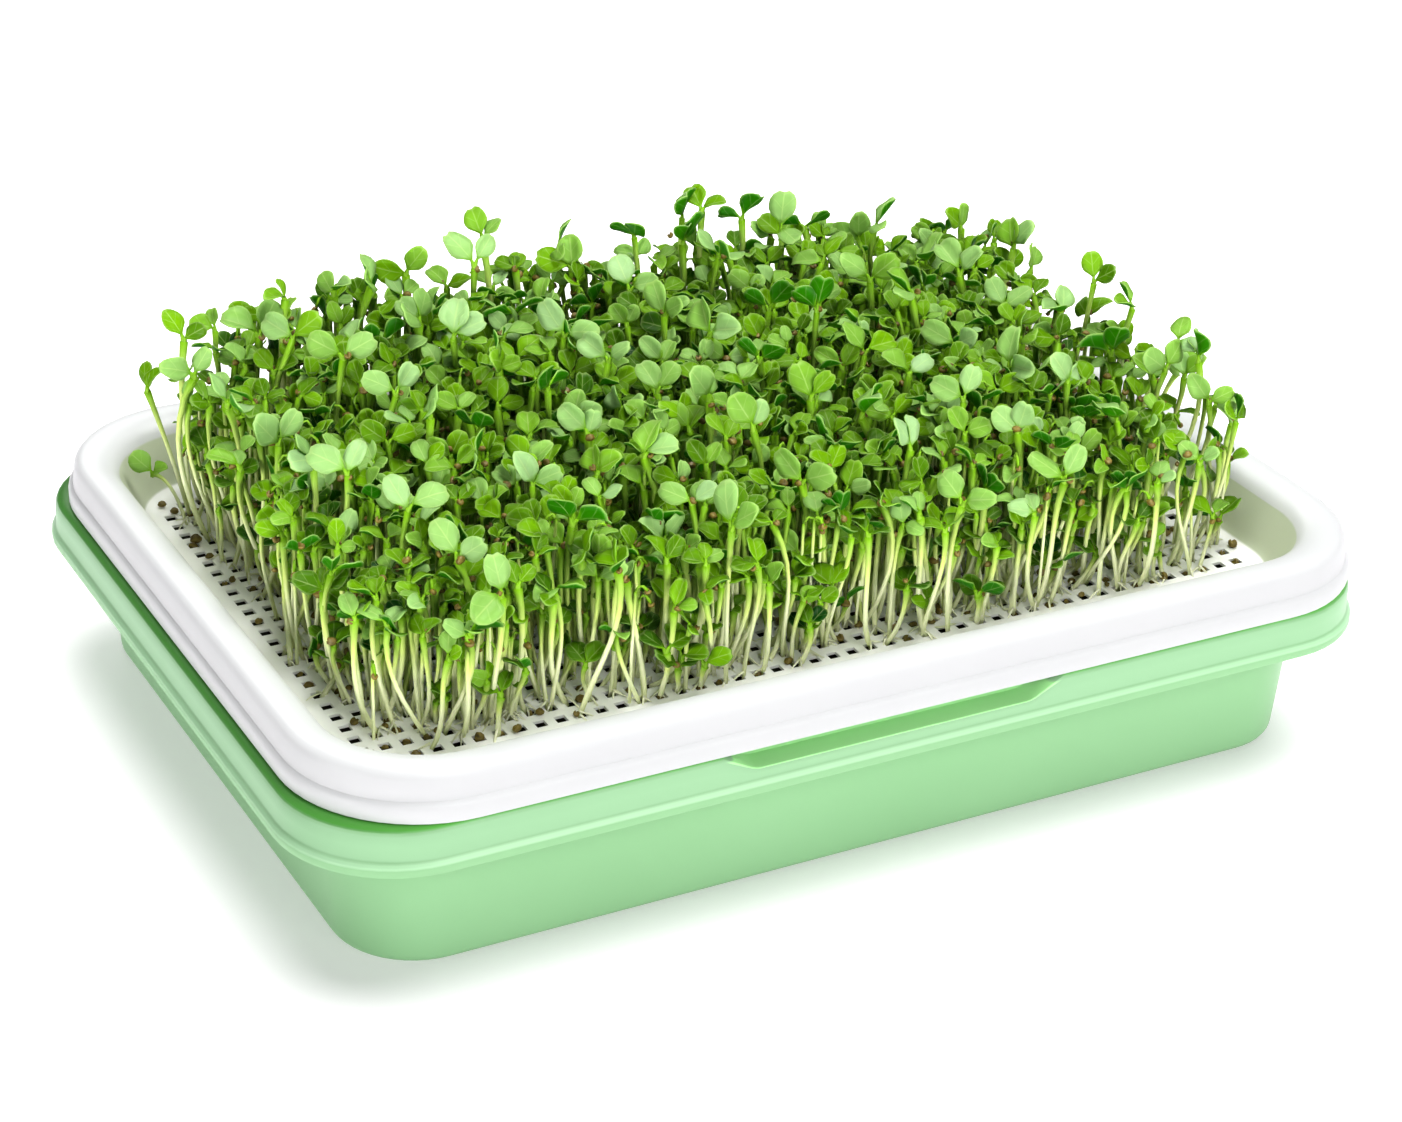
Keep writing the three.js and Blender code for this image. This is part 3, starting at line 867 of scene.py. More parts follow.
def tube_master(sides, levels, material_slot, along_start=0.0):
    """Straight tube of unit radius and height along +Z, closed at both ends. Its attribute
    along, which the stem's colour reads, runs from along_start to 1."""
    deselect_all()
    bpy.ops.mesh.primitive_circle_add(vertices=sides, radius=1, fill_type="NGON")
    piece = bpy.context.object
    bpy.ops.object.mode_set(mode="EDIT")
    bpy.ops.mesh.select_all(action="SELECT")
    for _ in range(levels):
        bpy.ops.mesh.extrude_region_move(TRANSFORM_OT_translate={"value": (0, 0, 1 / levels)})
    bpy.ops.mesh.select_all(action="SELECT")
    bpy.ops.mesh.normals_make_consistent(inside=False)
    bpy.ops.object.mode_set(mode="OBJECT")
    places = coordinates(piece.data)
    along = along_start + (1 - along_start) * places[:, 2]
    note_attributes(piece, material_slot, along, np.ones(len(places)))
    return piece


def husk_master():
    """Split seed coat of unit length: a small rounded bean with an open seam on one side."""
    deselect_all()
    bpy.ops.mesh.primitive_uv_sphere_add(segments=8, ring_count=5, radius=0.5)
    piece = bpy.context.object
    width, height, curl = HUSK_SHAPE
    seam_width, seam_depth = HUSK_SEAM
    for vertex in piece.data.vertices:
        x, y, z = vertex.co
        seam = math.exp(-((y / seam_width) ** 2)) * max(0.0, z) * seam_depth
        vertex.co = (x, y * width, z * height - seam - curl * x * x)
    ones = np.ones(len(piece.data.vertices))
    note_attributes(piece, LEAF, ones, ones)
    return piece


class SproutMasters:
    """The few shapes that every sprout is copied from, each with its name."""

    def __init__(self, sizes):
        self.shapes = {
            "leaf": leaf_master(5, 4, sizes.leaf_thickness / sizes.leaf_length),
            "stem": tube_master(5, 8, STEM),
            # Stems deep in the bed start green, not pale: painted shade under the leaves.
            "inner_stem_painted_shade": tube_master(4, 6, STEM, 0.55),
            "stalk": tube_master(4, 3, STEM, 0.94),
            "root": tube_master(3, 3, ROOT),
            "husk": husk_master(),
        }
        self.places = {name: coordinates(piece.data) for name, piece in self.shapes.items()}

    def remove(self):
        for piece in self.shapes.values():
            mesh = piece.data
            bpy.data.objects.remove(piece)
            bpy.data.meshes.remove(mesh)


class Bundle:
    """Collects copies of the masters, each with its own mesh, and joins them into one piece."""

    def __init__(self, masters):
        self.masters = masters
        self.shape = bmesh.new()

    def add(self, name, places, tone):
        """Add a copy of a master with its points at these places and one tone."""
        mesh = self.masters.shapes[name].data.copy()
        mesh.vertices.foreach_set("co", places.astype(np.float32).ravel())
        tones = np.full(len(places), tone, dtype=np.float32)
        mesh.attributes["tone"].data.foreach_set("value", tones)
        self.shape.from_mesh(mesh)
        bpy.data.meshes.remove(mesh)

    def add_tube(self, name, control, radii, tone):
        """Lay a tube along a curve, with its radii given at equal steps along it."""
        self.add(name, bend_tube(self.masters.places[name], control, radii), tone)

    def add_husk(self, draw, place, length):
        """A seed coat at a place, turned any way."""
        turn = Matrix.Rotation(draw.uniform(*ANY_TURN), 3, "Z")
        turn = turn @ Matrix.Rotation(draw.uniform(*HUSK_TILT), 3, "X")
        local = self.masters.places["husk"] * length * draw.uniform(*HUSK_SIZE)
        self.add("husk", np.asarray(place) + local @ np.array(turn).T, draw.random())

    def piece(self, name):
        """The one piece that the copies make up."""
        mesh = bpy.data.meshes.new(name)
        self.shape.to_mesh(mesh)
        self.shape.free()
        piece = bpy.data.objects.new(name, mesh)
        bpy.context.scene.collection.objects.link(piece)
        return piece


# ---- Shaping one sprout -------------------------------------------------------------------


UP = np.array([0.0, 0.0, 1.0])


def unit(vector):
    """The same direction with a length of one."""
    return vector / np.linalg.norm(vector)


def curve_points(control, shares):
    """Points and unit tangents of the Bezier curve through these control points."""
    t = shares[:, None]
    while len(control) > 2:
        control = [(1 - t) * start + t * end for start, end in zip(control, control[1:])]
    slopes = control[1] - control[0]
    return control[0] + t * slopes, slopes / np.linalg.norm(slopes, axis=1)[:, None]


def bend_tube(straight, control, radii):
    """Lay a straight unit tube along a curve, with the radius given at equal steps along it."""
    shares = straight[:, 2]
    points, tangents = curve_points(control, shares)
    radius = np.interp(shares, np.linspace(0, 1, len(radii)), radii)[:, None]
    aside = np.cross(tangents, np.array([0.31, 0.95, 0.02]))
    aside /= np.linalg.norm(aside, axis=1)[:, None]
    other = np.cross(tangents, aside)
    return points + radius * (straight[:, :1] * aside + straight[:, 1:2] * other)


def place_leaf(flat, foot, ahead, normal, length, width, fold, arch, notch, wave):
    """Fold a flat unit leaf along its midrib, bend it, notch its tip and set it on its stalk."""
    x, y, z = flat.T
    notch_width, notch_start, notch_length = TIP_NOTCH
    dent = np.exp(-((y / notch_width) ** 2)) * np.clip((x - notch_start) / notch_length, 0, 1)
    x = x - notch * dent
    ripple = BLADE_RIPPLE[0] * np.sin(BLADE_RIPPLE[1] * x + wave) * y
    rise = fold * np.abs(y) - arch * x * x + ripple
    local = np.stack([x * length, y * (length * width), (z + rise) * length], axis=1)
    across = np.cross(normal, ahead)
    return foot + local @ np.stack([ahead, across, normal])


class Sprout:
    """One sprout: where it stands, how it bends, and which way its two leaves face."""

    def __init__(self, draw, foot, head, leaf_length, tone, facing=FACING_ELEVATION):
        self.draw = draw
        self.foot = np.array(foot)
        self.head = np.array(head)
        self.leaf_length = leaf_length
        self.tone = tone
        self.bend = None
        self.inner = False
        if draw.random() < WINDOW_SHARE:
            azimuth = math.radians(draw.gauss(*WINDOW_SIDE))
        else:
            azimuth = draw.uniform(0, 2 * math.pi)
        self.face(azimuth, math.radians(draw.uniform(*facing)))

    def face(self, azimuth, elevation):
        """Turn the plane in which the two leaves spread to this direction."""
        level = np.array([math.cos(azimuth), math.sin(azimuth), 0.0])
        self.facing = math.cos(elevation) * level + math.sin(elevation) * UP
        self.upwards = math.cos(elevation) * UP - math.sin(elevation) * level

    def stem_control(self):
        """Control points of the stem's curve: through its bend, or swaying a little."""
        draw = self.draw
        lean = self.head - self.foot
        if self.bend is not None:
            return [self.foot, self.bend, self.bend + 0.35 * lean, self.head]
        first = self.foot + lean * np.array([0.5, 0.5, 0.32])
        second = self.foot + lean * np.array([0.95, 0.95, 0.66])
        for point in (first, second):
            point[:2] += [draw.gauss(0, STEM_SWAY) * lean[2], draw.gauss(0, STEM_SWAY) * lean[2]]
        return [self.foot, first, second, self.head]

    def add_to(self, bundle, stem_radius):
        """Add the stem and its pair of leaves to a bundle."""
        draw = self.draw
        girth = stem_radius * draw.uniform(*GIRTH_SPREAD)
        bundle.add_tube("inner_stem_painted_shade" if self.inner else "stem", self.stem_control(),
                        [girth * share for share in STEM_GIRTHS], draw.random())
        sideways = np.cross(self.facing, self.upwards)
        tilt = draw.gauss(0, LEAF_TILT)
        opening = draw.uniform(*LEAF_OPENING)
        smaller = draw.uniform(*SMALLER_LEAF)
        for side, share in ((-1, smaller), (1, 1.0)):
            turn = tilt + side * opening + draw.gauss(0, LEAF_TURN)
            axis = math.cos(turn) * self.upwards + math.sin(turn) * sideways
            lift = draw.uniform(*LEAF_LIFT)
            self.add_leaf(bundle, girth, math.cos(lift) * axis + math.sin(lift) * self.facing,
                          math.cos(lift) * self.facing - math.sin(lift) * axis, share)

    def add_leaf(self, bundle, girth, ahead, normal, share):
        """One leaf and its stalk: ahead is the way it points, normal the way its top looks."""
        draw = self.draw
        length = self.leaf_length * share
        reach = self.leaf_length * draw.uniform(*STALK_REACH)
        middle = self.head + 0.5 * reach * unit(UP + 0.4 * ahead)
        leaf_foot = middle + 0.5 * reach * unit(0.35 * UP + ahead)
        bundle.add_tube("stalk", [self.head - STALK_SINK * MM * UP, middle, leaf_foot],
                        [girth * share for share in STALK_GIRTHS], self.tone)
        roll = draw.gauss(0, LEAF_ROLL)
        turned = math.cos(roll) * normal + math.sin(roll) * np.cross(ahead, normal)
        blade = place_leaf(
            bundle.masters.places["leaf"], leaf_foot - STALK_OVERLAP * length * ahead, ahead,
            turned, length, **{name: draw.uniform(*limits) for name, limits in BLADE.items()})
        bundle.add("leaf", blade, min(1.0, max(0.0, self.tone + draw.gauss(0, LEAF_TONE))))


# ---- The sprout bed -----------------------------------------------------------------------


class Bed:
    """The planted area, read from the frame's clumps, and the canopy over it."""

    def __init__(self, sizes, trays):
        self.sizes = sizes
        self.trays = trays
        self.cells = {name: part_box(name) for name in frame["nodes"]
                      if name.startswith("sprout_clump_")}
        self.rows = max(int(name.split("_")[2]) for name in self.cells)
        self.columns = max(int(name.split("_")[3]) for name in self.cells)
        overhang = CROWN_OVERHANG * MM
        self.low_x = min(low[0] for low, high in self.cells.values()) + overhang
        self.high_x = max(high[0] for low, high in self.cells.values()) - overhang
        self.low_y = min(low[1] for low, high in self.cells.values()) + overhang
        self.high_y = max(high[1] for low, high in self.cells.values()) - 0.6 * overhang

    def shares(self, x, y):
        """How far along the bed and how far into its depth a point is, from 0 to 1."""
        along = (x - self.low_x) / (self.high_x - self.low_x)
        depth = (y - self.low_y) / (self.high_y - self.low_y)
        return min(1.0, max(0.0, along)), min(1.0, max(0.0, depth))

    def cell_name(self, x, y):
        """The frame's clump that a point of the bed belongs to."""
        along, depth = self.shares(x, y)
        column = min(self.columns, int(along * self.columns) + 1)
        row = min(self.rows, int(depth * self.rows) + 1)
        return f"sprout_clump_{row}_{column}"

    def canopy(self, x, y):
        """Height of the leaf tops above the mesh: they rise to the back and drop at the ends."""
        along, depth = self.shares(x, y)
        sizes = self.sizes
        left_end, right_start = CANOPY_DROPS
        left = sizes.canopy_left * (max(0.0, left_end - along) / left_end) ** 2
        past_start = max(0.0, along - right_start) / (1 - right_start)
        right = sizes.canopy_right * past_start ** RIGHT_DROP_POWER
        right *= RIGHT_DROP_SHARES[0] + RIGHT_DROP_SHARES[1] * depth ** 2
        wave_x, wave_y, slant = CANOPY_WAVES
        ripple = math.sin(x / MM * wave_x) * math.cos(y / MM * wave_y + x / MM * slant)
        rise = sizes.canopy_rise * math.sqrt(depth)
        return sizes.canopy_front + rise - left - right + CANOPY_RIPPLE * MM * ripple

    def edge_distance(self, x, y):
        """Distance inside the bed's outline, which has rounded corners."""
        reach = BED_CORNER * MM
        from_x = min(x - self.low_x, self.high_x - x)
        from_y = min(y - self.low_y, self.high_y - y)
        if from_x < reach and from_y < reach:
            return reach - math.hypot(reach - from_x, reach - from_y)
        return min(from_x, from_y)

    def inwards(self, x, y):
        """Direction from a point near the bed's edge to its inside, or nothing further in."""
        reach = BED_CORNER * MM
        inner_x = min(max(x, self.low_x + reach), self.high_x - reach)
        inner_y = min(max(y, self.low_y + reach), self.high_y - reach)
        distance = math.hypot(inner_x - x, inner_y - y)
        return np.array([inner_x - x, inner_y - y]) / max(distance, MM)

    def nearest_hole(self, x, y):
        """Middle of the drain hole that is nearest to a point on the mesh."""
        pitch_x, pitch_y = self.trays.hole_pitch_x, self.trays.hole_pitch_y
        shift_x, shift_y = TRAY_SHIFT[0] * MM, TRAY_SHIFT[1] * MM
        return (shift_x + round((x - shift_x) / pitch_x) * pitch_x,
                shift_y + round((y - shift_y) / pitch_y) * pitch_y)


def sprout_heads(bed, draw):
    """Places of the sprouts' forks, a jittered grid over the bed and its overhang, and whether
    each is one of the tall ones, which stand evenly among the rest."""
    spacing = bed.sizes.spacing
    overhang = HEAD_OVERHANG * MM
    heads = []
    across = int((bed.high_y - bed.low_y + 2 * overhang) / spacing)
    along = int((bed.high_x - bed.low_x + 2 * overhang) / spacing)
    for row in range(across + 1):
        for column in range(along + 1):
            stray = draw.gauss(0, HEAD_JITTER)
            x = bed.low_x - overhang + (column + 0.5 * (row % 2) + stray) * spacing
            y = bed.low_y - overhang + (row + draw.gauss(0, HEAD_JITTER)) * spacing
            edge = bed.edge_distance(x, y)
            if edge > -overhang:
                tall = (column + 2 * row) % TALL_EVERY[0] == 0 and row % TALL_EVERY[1] == 0
                bare = edge < EDGE_BARE[0] * MM or x > bed.high_x - EDGE_BARE[1] * MM
                if tall or not bare or draw.random() > EDGE_BARE_SHARE:
                    heads.append((x, y, tall))
    beside = random.Random(bed.sizes.seed + 50)
    for x, y, tall in list(heads):
        if bed.edge_distance(x, y) < OUTER_ROWS * MM and beside.random() < EDGE_EXTRA_SHARE:
            heads.append((x + beside.gauss(0, 0.5) * spacing,
                          y + beside.gauss(0, 0.5) * spacing, False))
    return heads


def plan_sprout(bed, draw, x, y, tall):
    """Choose the height, foot, leaf size and tone of the sprout whose fork is over (x, y)."""
    sizes = bed.sizes
    edge = bed.edge_distance(x, y)
    outer = edge < OUTER_ROWS * MM and y < bed.high_y - 2 * OUTER_ROWS * MM
    limits = OUTER_TIER_LIMITS if outer else TIER_LIMITS
    level = draw.random()
    if tall:
        tier = "tall"
    elif level < limits[0]:
        tier = "top"
    elif level < limits[1]:
        tier = "middle"
    else:
        tier = "low_outer" if outer else "low"
    share, leaf, tone = [draw.uniform(low, high) for low, high in TIERS[tier]]
    height = share * bed.canopy(x, y) - LEAF_DEPTH * MM
    # Stems start nearer the middle of the bed than their heads, most at its edges.
    pull = max(0.0, FOOT_PULL_FROM * MM - edge) / (FOOT_PULL_FROM * MM + HEAD_OVERHANG * MM)
    foot_x, foot_y = np.array([x, y]) + min(1.0, pull) * FOOT_PULL * MM * bed.inwards(x, y)
    hole_x, hole_y = bed.nearest_hole(foot_x + draw.gauss(0, FOOT_SPREAD) * MM,
                                      foot_y + draw.gauss(0, FOOT_SPREAD) * MM)
    foot = (hole_x + draw.gauss(0, HOLE_SPREAD) * MM, hole_y + draw.gauss(0, HOLE_SPREAD) * MM,
            FOOT_HEIGHT * MM)
    facing = TALL_FACING_ELEVATION if tall else FACING_ELEVATION
    head = (x, y, MESH_TOP * MM + height)
    sprout = Sprout(draw, foot, head, sizes.leaf_length * leaf, tone, facing)
    # Deep in the bed a stem gets no pale foot, as painted shade under the leaves.
    sprout.inner = edge > DEEP_IN_BED * MM
    return sprout


def plan_outstanding(bed, draw, x, y, z):
    """A tall sprout whose fork is at this place, rooted a little nearer the bed's middle."""
    foot_x, foot_y = np.array([x, y]) + OUTSTANDING_PULL * MM * bed.inwards(x, y)
    foot = (*bed.nearest_hole(foot_x, foot_y), FOOT_HEIGHT * MM)
    length = bed.sizes.leaf_length * draw.uniform(0.82, 1.0)
    return Sprout(draw, foot, (x, y, z), length, draw.uniform(0.35, 0.8), TALL_FACING_ELEVATION)


def add_roots(bundle, draw, foot, count):
    """Root threads that leave the foot of a stem and run over the mesh into the holes."""
    for _ in range(count):
        heading = draw.uniform(0, 2 * math.pi)
        reach = draw.uniform(*ROOT_REACH) * MM
        ahead = np.array([math.cos(heading), math.sin(heading), 0.0])
        top = foot + draw.uniform(*ROOT_START) * MM * UP
        knee = foot + 0.6 * reach * ahead + draw.uniform(*ROOT_KNEE) * MM * UP
        end = foot + reach * ahead + draw.uniform(*ROOT_END) * MM * UP
        bundle.add_tube("root", [top, knee, end], [radius * MM for radius in ROOT_RADII],
                        draw.random())


def add_late_sprout(bundle, husks, draw, foot, height, sizes):
    """A sprout that hasn't opened: a thin stem with a hooked top that still holds its husk."""
    heading = draw.uniform(0, 2 * math.pi)
    ahead = np.array([math.cos(heading), math.sin(heading), 0.0])
    neck = foot + height * UP + draw.gauss(0, LATE_LEAN) * MM * ahead
    girth = LATE_GIRTH * sizes.stem_radius
    bundle.add_tube("stem", [foot, foot + 0.5 * height * UP, neck - 3 * MM * UP, neck],
                    [girth, girth, 0.9 * girth], draw.random())
    reach = draw.uniform(*HOOK_REACH) * MM
    tip = neck + reach * ahead - draw.uniform(*HOOK_DROOP) * MM * UP
    bundle.add_tube("stalk", [neck, neck + 0.35 * reach * ahead + reach * UP, tip],
                    [0.9 * girth, 0.8 * girth, 1.1 * girth], draw.random())
    husks.add_husk(draw, tip, sizes.husk_length)


def sprout_tissues():
    """The materials of a sprout piece, in the order of its slots."""
    return [finished(surface) for surface in (seed_leaf, sprout_stem, root_thread)]


def build_sprout_bed():
    """Grow a sprout under each fork, gathered in one piece for each of the frame's clumps."""
    scene = bpy.context.scene
    sizes = scene.microgreens_sprouts
    draw = random.Random(sizes.seed)
    bed = Bed(sizes, scene.microgreens_mesh)
    masters = SproutMasters(sizes)
    bundles = {name: Bundle(masters) for name in sorted(bed.cells)}
    husks = Bundle(masters)
    for number, (x, y, tall) in enumerate(sprout_heads(bed, draw)):
        draw = random.Random(sizes.seed + 100 + number)
        sprout = plan_sprout(bed, draw, x, y, tall)
        bundle = bundles[bed.cell_name(x, y)]
        sprout.add_to(bundle, sizes.stem_radius)
        add_roots(bundle, draw, sprout.foot, 2)
        if draw.random() < STUCK_HUSK_SHARE:
            aside = [draw.gauss(0, 1.2), draw.gauss(0, 1.2), draw.uniform(-0.5, 2.5)]
            husks.add_husk(draw, sprout.head + np.array(aside) * MM, sizes.husk_length)
        if draw.random() < LATE_SHARE:
            height = draw.uniform(*LATE_HEIGHT) * bed.canopy(x, y)
            stray = [draw.gauss(0, LATE_STRAY), draw.gauss(0, LATE_STRAY), 0]
            foot = sprout.foot + np.array(stray) * MM
            add_late_sprout(bundle, husks, draw, foot, height, sizes)
    for fork in OUTSTANDING_FORKS:
        sprout = plan_outstanding(bed, draw, *(length * MM for length in fork))
        bundle = bundles[bed.cell_name(*sprout.head[:2])]
        sprout.add_to(bundle, sizes.stem_radius)
        add_roots(bundle, draw, sprout.foot, 2)
    build_root_mat_painted_shade()
    tissues = sprout_tissues()
    for name, bundle in bundles.items():
        piece = bundle.piece(name.replace("sprout_clump", "sprouts"))
        hand_over(piece, tissues, "sprout_green", name)
    hand_over(husks.piece("stuck_husks"), finished(seed_coat), "husk_brown")
    masters.remove()


# ---- Single sprouts and fallen husks ------------------------------------------------------

# Node: foot, bend and fork in millimetres, facing azimuth and elevation in degrees, leaf length.
LONE_SPROUTS = {
    "lone_sprout_back_left": ((-136.5, 72, 47.9), (-138, 75, 58), (-143, 83, 62), (-150, 35), 8.5),
    "lone_sprout_right": ((147.5, -20, 47.9), (151, -21, 68), (156.5, -25, 86), (-60, 35), 11.0),
    "lone_sprout_front_right": ((147, -58, 47.9), (148.5, -57, 58), (150, -54, 66), (-20, 30), 8.5),
}


def build_lone_sprouts():
    """Grow the sprouts that the frame has apart from the bed, each from its own node."""
    scene = bpy.context.scene
    sizes = scene.microgreens_sprouts
    masters = SproutMasters(sizes)
    draw = random.Random(sizes.seed + 1)
    tissues = sprout_tissues()
    for node, (foot, bend, fork, facing, leaf) in LONE_SPROUTS.items():
        bundle = Bundle(masters)
        sprout = Sprout(draw, np.array(foot) * MM, np.array(fork) * MM, leaf * MM, 0.6)
        sprout.bend = np.array(bend) * MM
        sprout.face(math.radians(facing[0]), math.radians(facing[1]))
        sprout.add_to(bundle, 0.9 * sizes.stem_radius)
        add_roots(bundle, draw, sprout.foot, 3)
        hand_over(bundle.piece(node.replace("lone", "single")), tissues, "sprout_green", node)
    masters.remove()


def husk_resting(x, y, length):
    """Middle of a seed coat of this length that lies on the mesh at (x, y)."""
    return (x, y, MESH_TOP * MM + 0.36 * length)


def build_fallen_husks():
    """Lay a husk at each of the frame's husks, and strew more over the mesh and into its holes."""
    scene = bpy.context.scene
    sizes = scene.microgreens_sprouts
    masters = SproutMasters(sizes)
    draw = random.Random(sizes.seed + 2)
    coat = finished(seed_coat)
    nodes = sorted(name for name in frame["nodes"] if name.startswith("seed_husk_"))
    for node in nodes:
        low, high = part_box(node)
        bundle = Bundle(masters)
        length = 1.25 * sizes.husk_length
        place = husk_resting((low[0] + high[0]) / 2, (low[1] + high[1]) / 2, length)
        bundle.add_husk(draw, place, length)
        hand_over(bundle.piece(node.replace("seed", "fallen")), coat, "husk_brown", node)
    bed = Bed(sizes, scene.microgreens_mesh)
    strewn = Bundle(masters)
    aside, before = STREWN_MARGIN[0] * MM, STREWN_MARGIN[1] * MM
    for _ in range(STREWN_HUSKS):
        x = draw.uniform(bed.low_x - aside, bed.high_x + aside)
        y = draw.uniform(bed.low_y - before, bed.high_y)
        if draw.random() < STREWN_FRONT[0]:
            y = draw.uniform(bed.low_y - before, bed.low_y + STREWN_FRONT[1] * MM)
        elif draw.random() < STREWN_LEFT[0]:
            x = draw.uniform(bed.low_x - aside, bed.low_x + STREWN_LEFT[1] * MM)
        if draw.random() < IN_HOLE_SHARE:
            place = (*bed.nearest_hole(x, y), (MESH_TOP - HUSK_SINK) * MM)
        else:
            place = husk_resting(x, y, sizes.husk_length)
        strewn.add_husk(draw, place, sizes.husk_length)
    hand_over(strewn.piece("husks_on_mesh"), coat, "husk_brown")
    masters.remove()


# ---- Stage --------------------------------------------------------------------------------

VIEW_AZIMUTH = math.radians(-28.97)
VIEW_ELEVATION = math.radians(27.48)
VIEW_ROLL = math.radians(2.19)
VIEW_DISTANCE = 1001.52 * MM
VIEW_ASIDE = 3.33 * MM
VIEW_UP = 36.42 * MM
LENS = 82.6
LIGHT_TARGET = (0, 0, 0.05)
FLOOR_SIDE = 40
WORLD_STRENGTH = 0.1
VIEW_GAMMA = 0.86

# How the names of the pieces in each lit group start.
LIT_GROUPS = {
    "plants": ("sprouts_", "single_", "stuck_", "husks_", "fallen_"),
    "mesh": ("mesh_tray",),
    "water": ("water_tray",),
    "floor": ("studio_floor",),
}

# Light: place and diameter in metres, power in watts, and the groups that it is kept to, or
# none where it reaches everything.
AREA_LIGHTS = {
    "overhead": ((0.28, 0.1, 1.4), 0.9, 23, ("plants", "mesh")),
    "front": ((0.2, -1.5, 0.35), 1.1, 7, ()),
    "left": ((-1.4, -0.3, 0.12), 0.9, 8, ()),
    "behind": ((0.15, 1.3, 0.95), 0.8, 6, ()),
    "plants_overhead": ((0.1, -0.3, 1.4), 0.4, 10, ("plants",)),
    "plants_front": ((0.1, -1.5, 0.35), 1.1, 33, ("plants",)),
    "plants_left": ((-1.4, -0.5, 0.3), 0.9, 23, ("plants",)),
    "mesh_front_high": ((-0.15, -1.15, 1.15), 0.9, 9, ("mesh",)),
    "water_front_high": ((0.35, -1.25, 0.8), 0.7, 11, ("water",)),
    "water_right": ((1.0, 0.0, 0.8), 0.6, 4, ("water",)),
    "water_left": ((-1.4, -0.3, 0.12), 0.9, 4, ("water",)),
    "floor_overhead": ((0.55, 0.3, 2.4), 3.0, 150, ("floor",)),
}


def add_camera():
    """Set the camera by its direction, distance, roll and offset from the origin."""
    back = Vector((math.sin(VIEW_AZIMUTH) * math.cos(VIEW_ELEVATION),
                   -math.cos(VIEW_AZIMUTH) * math.cos(VIEW_ELEVATION), math.sin(VIEW_ELEVATION)))
    level = (-back).cross(Vector((0, 0, 1))).normalized()
    upright = level.cross(-back)
    right = math.cos(VIEW_ROLL) * level + math.sin(VIEW_ROLL) * upright
    up = math.cos(VIEW_ROLL) * upright - math.sin(VIEW_ROLL) * level
    place = back * VIEW_DISTANCE + right * VIEW_ASIDE + up * VIEW_UP
    camera = bpy.data.objects.new("camera", bpy.data.cameras.new("camera"))
    camera.data.lens = LENS
    camera.data.sensor_width = 36
    turn = Matrix((right, up, back)).transposed().to_4x4()
    camera.matrix_world = Matrix.Translation(place) @ turn
    bpy.context.scene.collection.objects.link(camera)
    bpy.context.scene.camera = camera


def add_area_light(name, place, size, power, groups):
    """A round soft light that looks at the tray and is kept off all but its groups."""
    light = bpy.data.lights.new(name, "AREA")
    light.shape = "DISK"
    light.size = size
    light.energy = power
    lamp = bpy.data.objects.new(name, light)
    lamp.location = place
    back = Vector(place) - Vector(LIGHT_TARGET)
    lamp.rotation_euler = back.to_track_quat("Z", "Y").to_euler()
    bpy.context.scene.collection.objects.link(lamp)
    if groups:
        reached = bpy.data.collections.new(name + "_reaches")
        starts = tuple(start for group in groups for start in LIT_GROUPS[group])
        for piece in bpy.context.scene.objects:
            if piece.type == "MESH" and piece.name.startswith(starts):
                reached.objects.link(piece)
        lamp.light_linking.receiver_collection = reached


def build_stage():
    """Lay the paper, and set the faint world light, the lamps and the camera."""
    deselect_all()
    bpy.ops.mesh.primitive_plane_add(size=FLOOR_SIDE, location=(0, 0, 0))
    floor = bpy.context.object
    floor.name = "studio_floor"
    floor.data.materials.append(finished(studio_paper))
    world = bpy.data.worlds.new("studio")
    world.use_nodes = True
    background = world.node_tree.nodes["Background"]
    background.inputs["Color"].default_value = (*WHITE, 1)
    background.inputs["Strength"].default_value = WORLD_STRENGTH
    bpy.context.scene.world = world
    for name, settings in AREA_LIGHTS.items():
        add_area_light(name, *settings)
    add_camera()
    bpy.context.scene.view_settings.view_transform = "Standard"
    bpy.context.scene.view_settings.gamma = VIEW_GAMMA


# ---- Operators, panel and run -------------------------------------------------------------


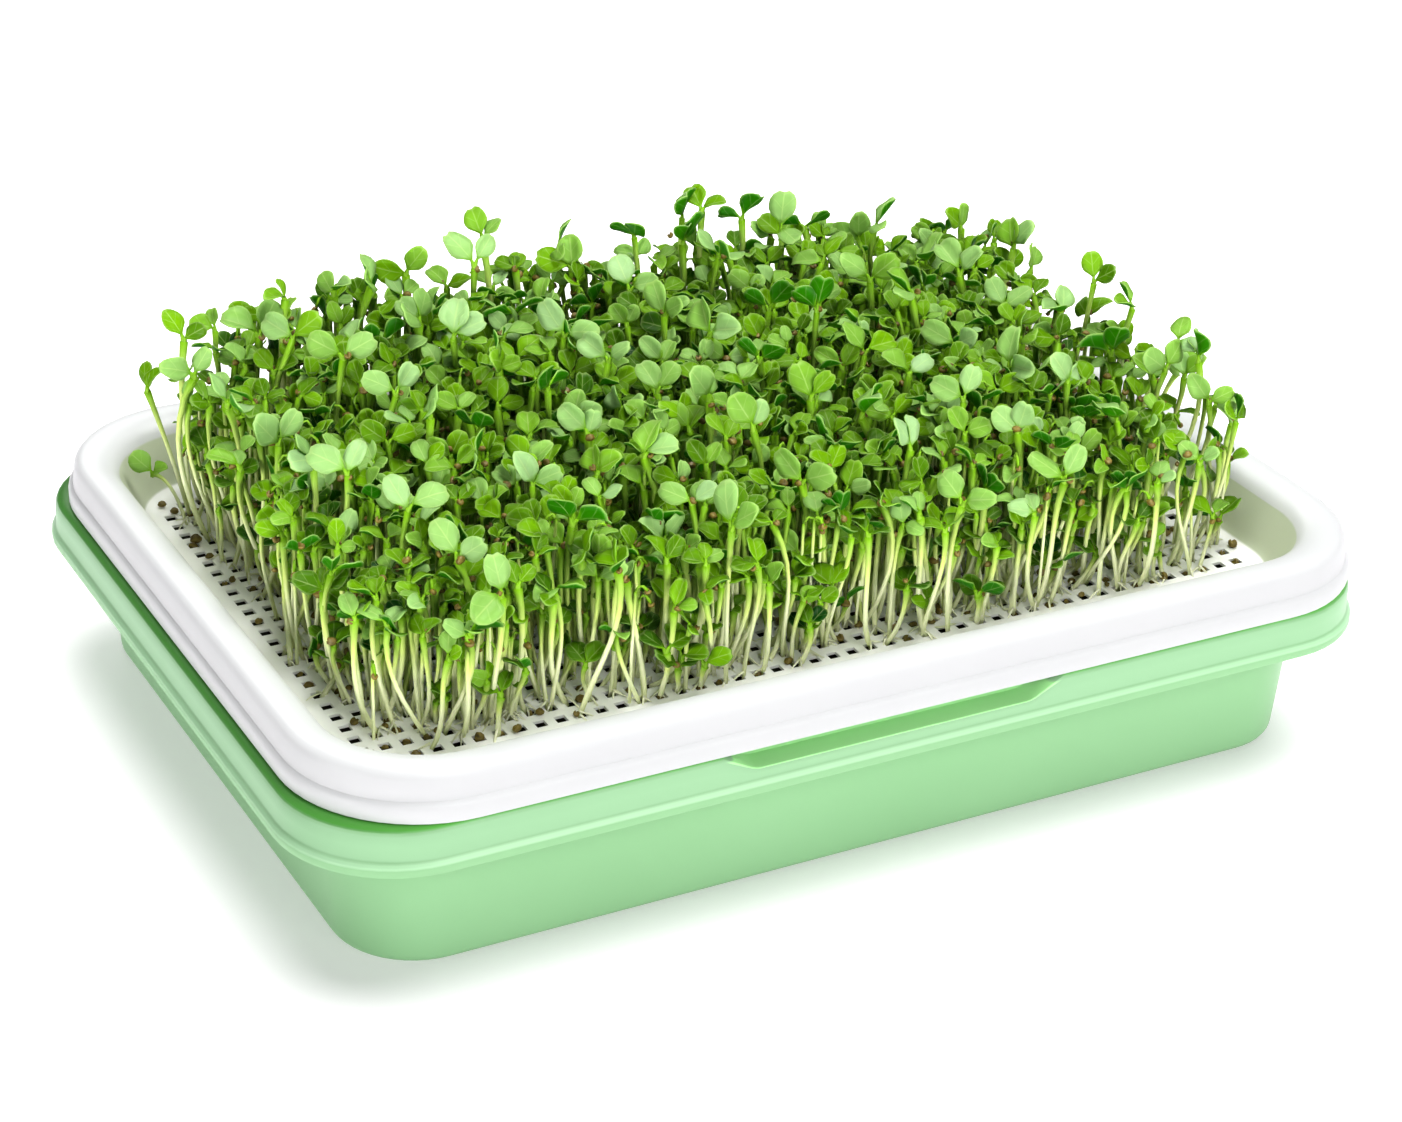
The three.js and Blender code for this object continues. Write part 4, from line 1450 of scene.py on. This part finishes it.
def build_operator(name, build, description):
    """An operator that runs one of the functions that build a part of the scene."""
    def execute(self, context):
        build()
        return {"FINISHED"}

    return type("MICROGREENS_OT_" + name, (bpy.types.Operator,), {
        "__doc__": description, "bl_idname": "microgreens." + name,
        "bl_label": name.replace("_", " ").capitalize(), "execute": execute,
    })


OPERATORS = [build_operator(*row) for row in (
    ("water_tray", build_water_tray,
     "Build the mint green water tray with its flange, lip and finger notch"),
    ("mesh_tray", build_mesh_tray,
     "Build the white mesh tray with its rolled rim and perforated floor"),
    ("sprout_bed", build_sprout_bed,
     "Grow the bed of sprouts: stems, leaf stalks, seed leaves, roots and stuck husks"),
    ("lone_sprouts", build_lone_sprouts, "Grow the three sprouts that stand apart from the bed"),
    ("fallen_husks", build_fallen_husks, "Strew seed husks over the mesh and into its holes"),
    ("stage", build_stage, "Set the paper floor, the lights and the camera"),
)]


class MICROGREENS_PT_sidebar(bpy.types.Panel):
    bl_idname = "MICROGREENS_PT_sidebar"
    bl_label = "Microgreens tray"
    bl_space_type = "VIEW_3D"
    bl_region_type = "UI"
    bl_category = "Microgreens"

    def draw(self, context):
        for operator in OPERATORS:
            self.layout.operator(operator.bl_idname)


SETTINGS = {
    "microgreens_water": WaterTraySettings,
    "microgreens_mesh": MeshTraySettings,
    "microgreens_sprouts": SproutSettings,
    "microgreens_finish": FinishSettings,
}


def register():
    for group in (*SETTINGS.values(), *OPERATORS, MICROGREENS_PT_sidebar):
        bpy.utils.register_class(group)
    for name, group in SETTINGS.items():
        setattr(bpy.types.Scene, name, PointerProperty(type=group))


def unregister():
    for name in SETTINGS:
        delattr(bpy.types.Scene, name)
    for group in reversed((*SETTINGS.values(), *OPERATORS, MICROGREENS_PT_sidebar)):
        bpy.utils.unregister_class(group)


def main():
    register()
    bpy.ops.microgreens.water_tray()
    bpy.ops.microgreens.mesh_tray()
    bpy.ops.microgreens.sprout_bed()
    bpy.ops.microgreens.lone_sprouts()
    bpy.ops.microgreens.fallen_husks()
    bpy.ops.microgreens.stage()


if __name__ == "__main__":
    main()
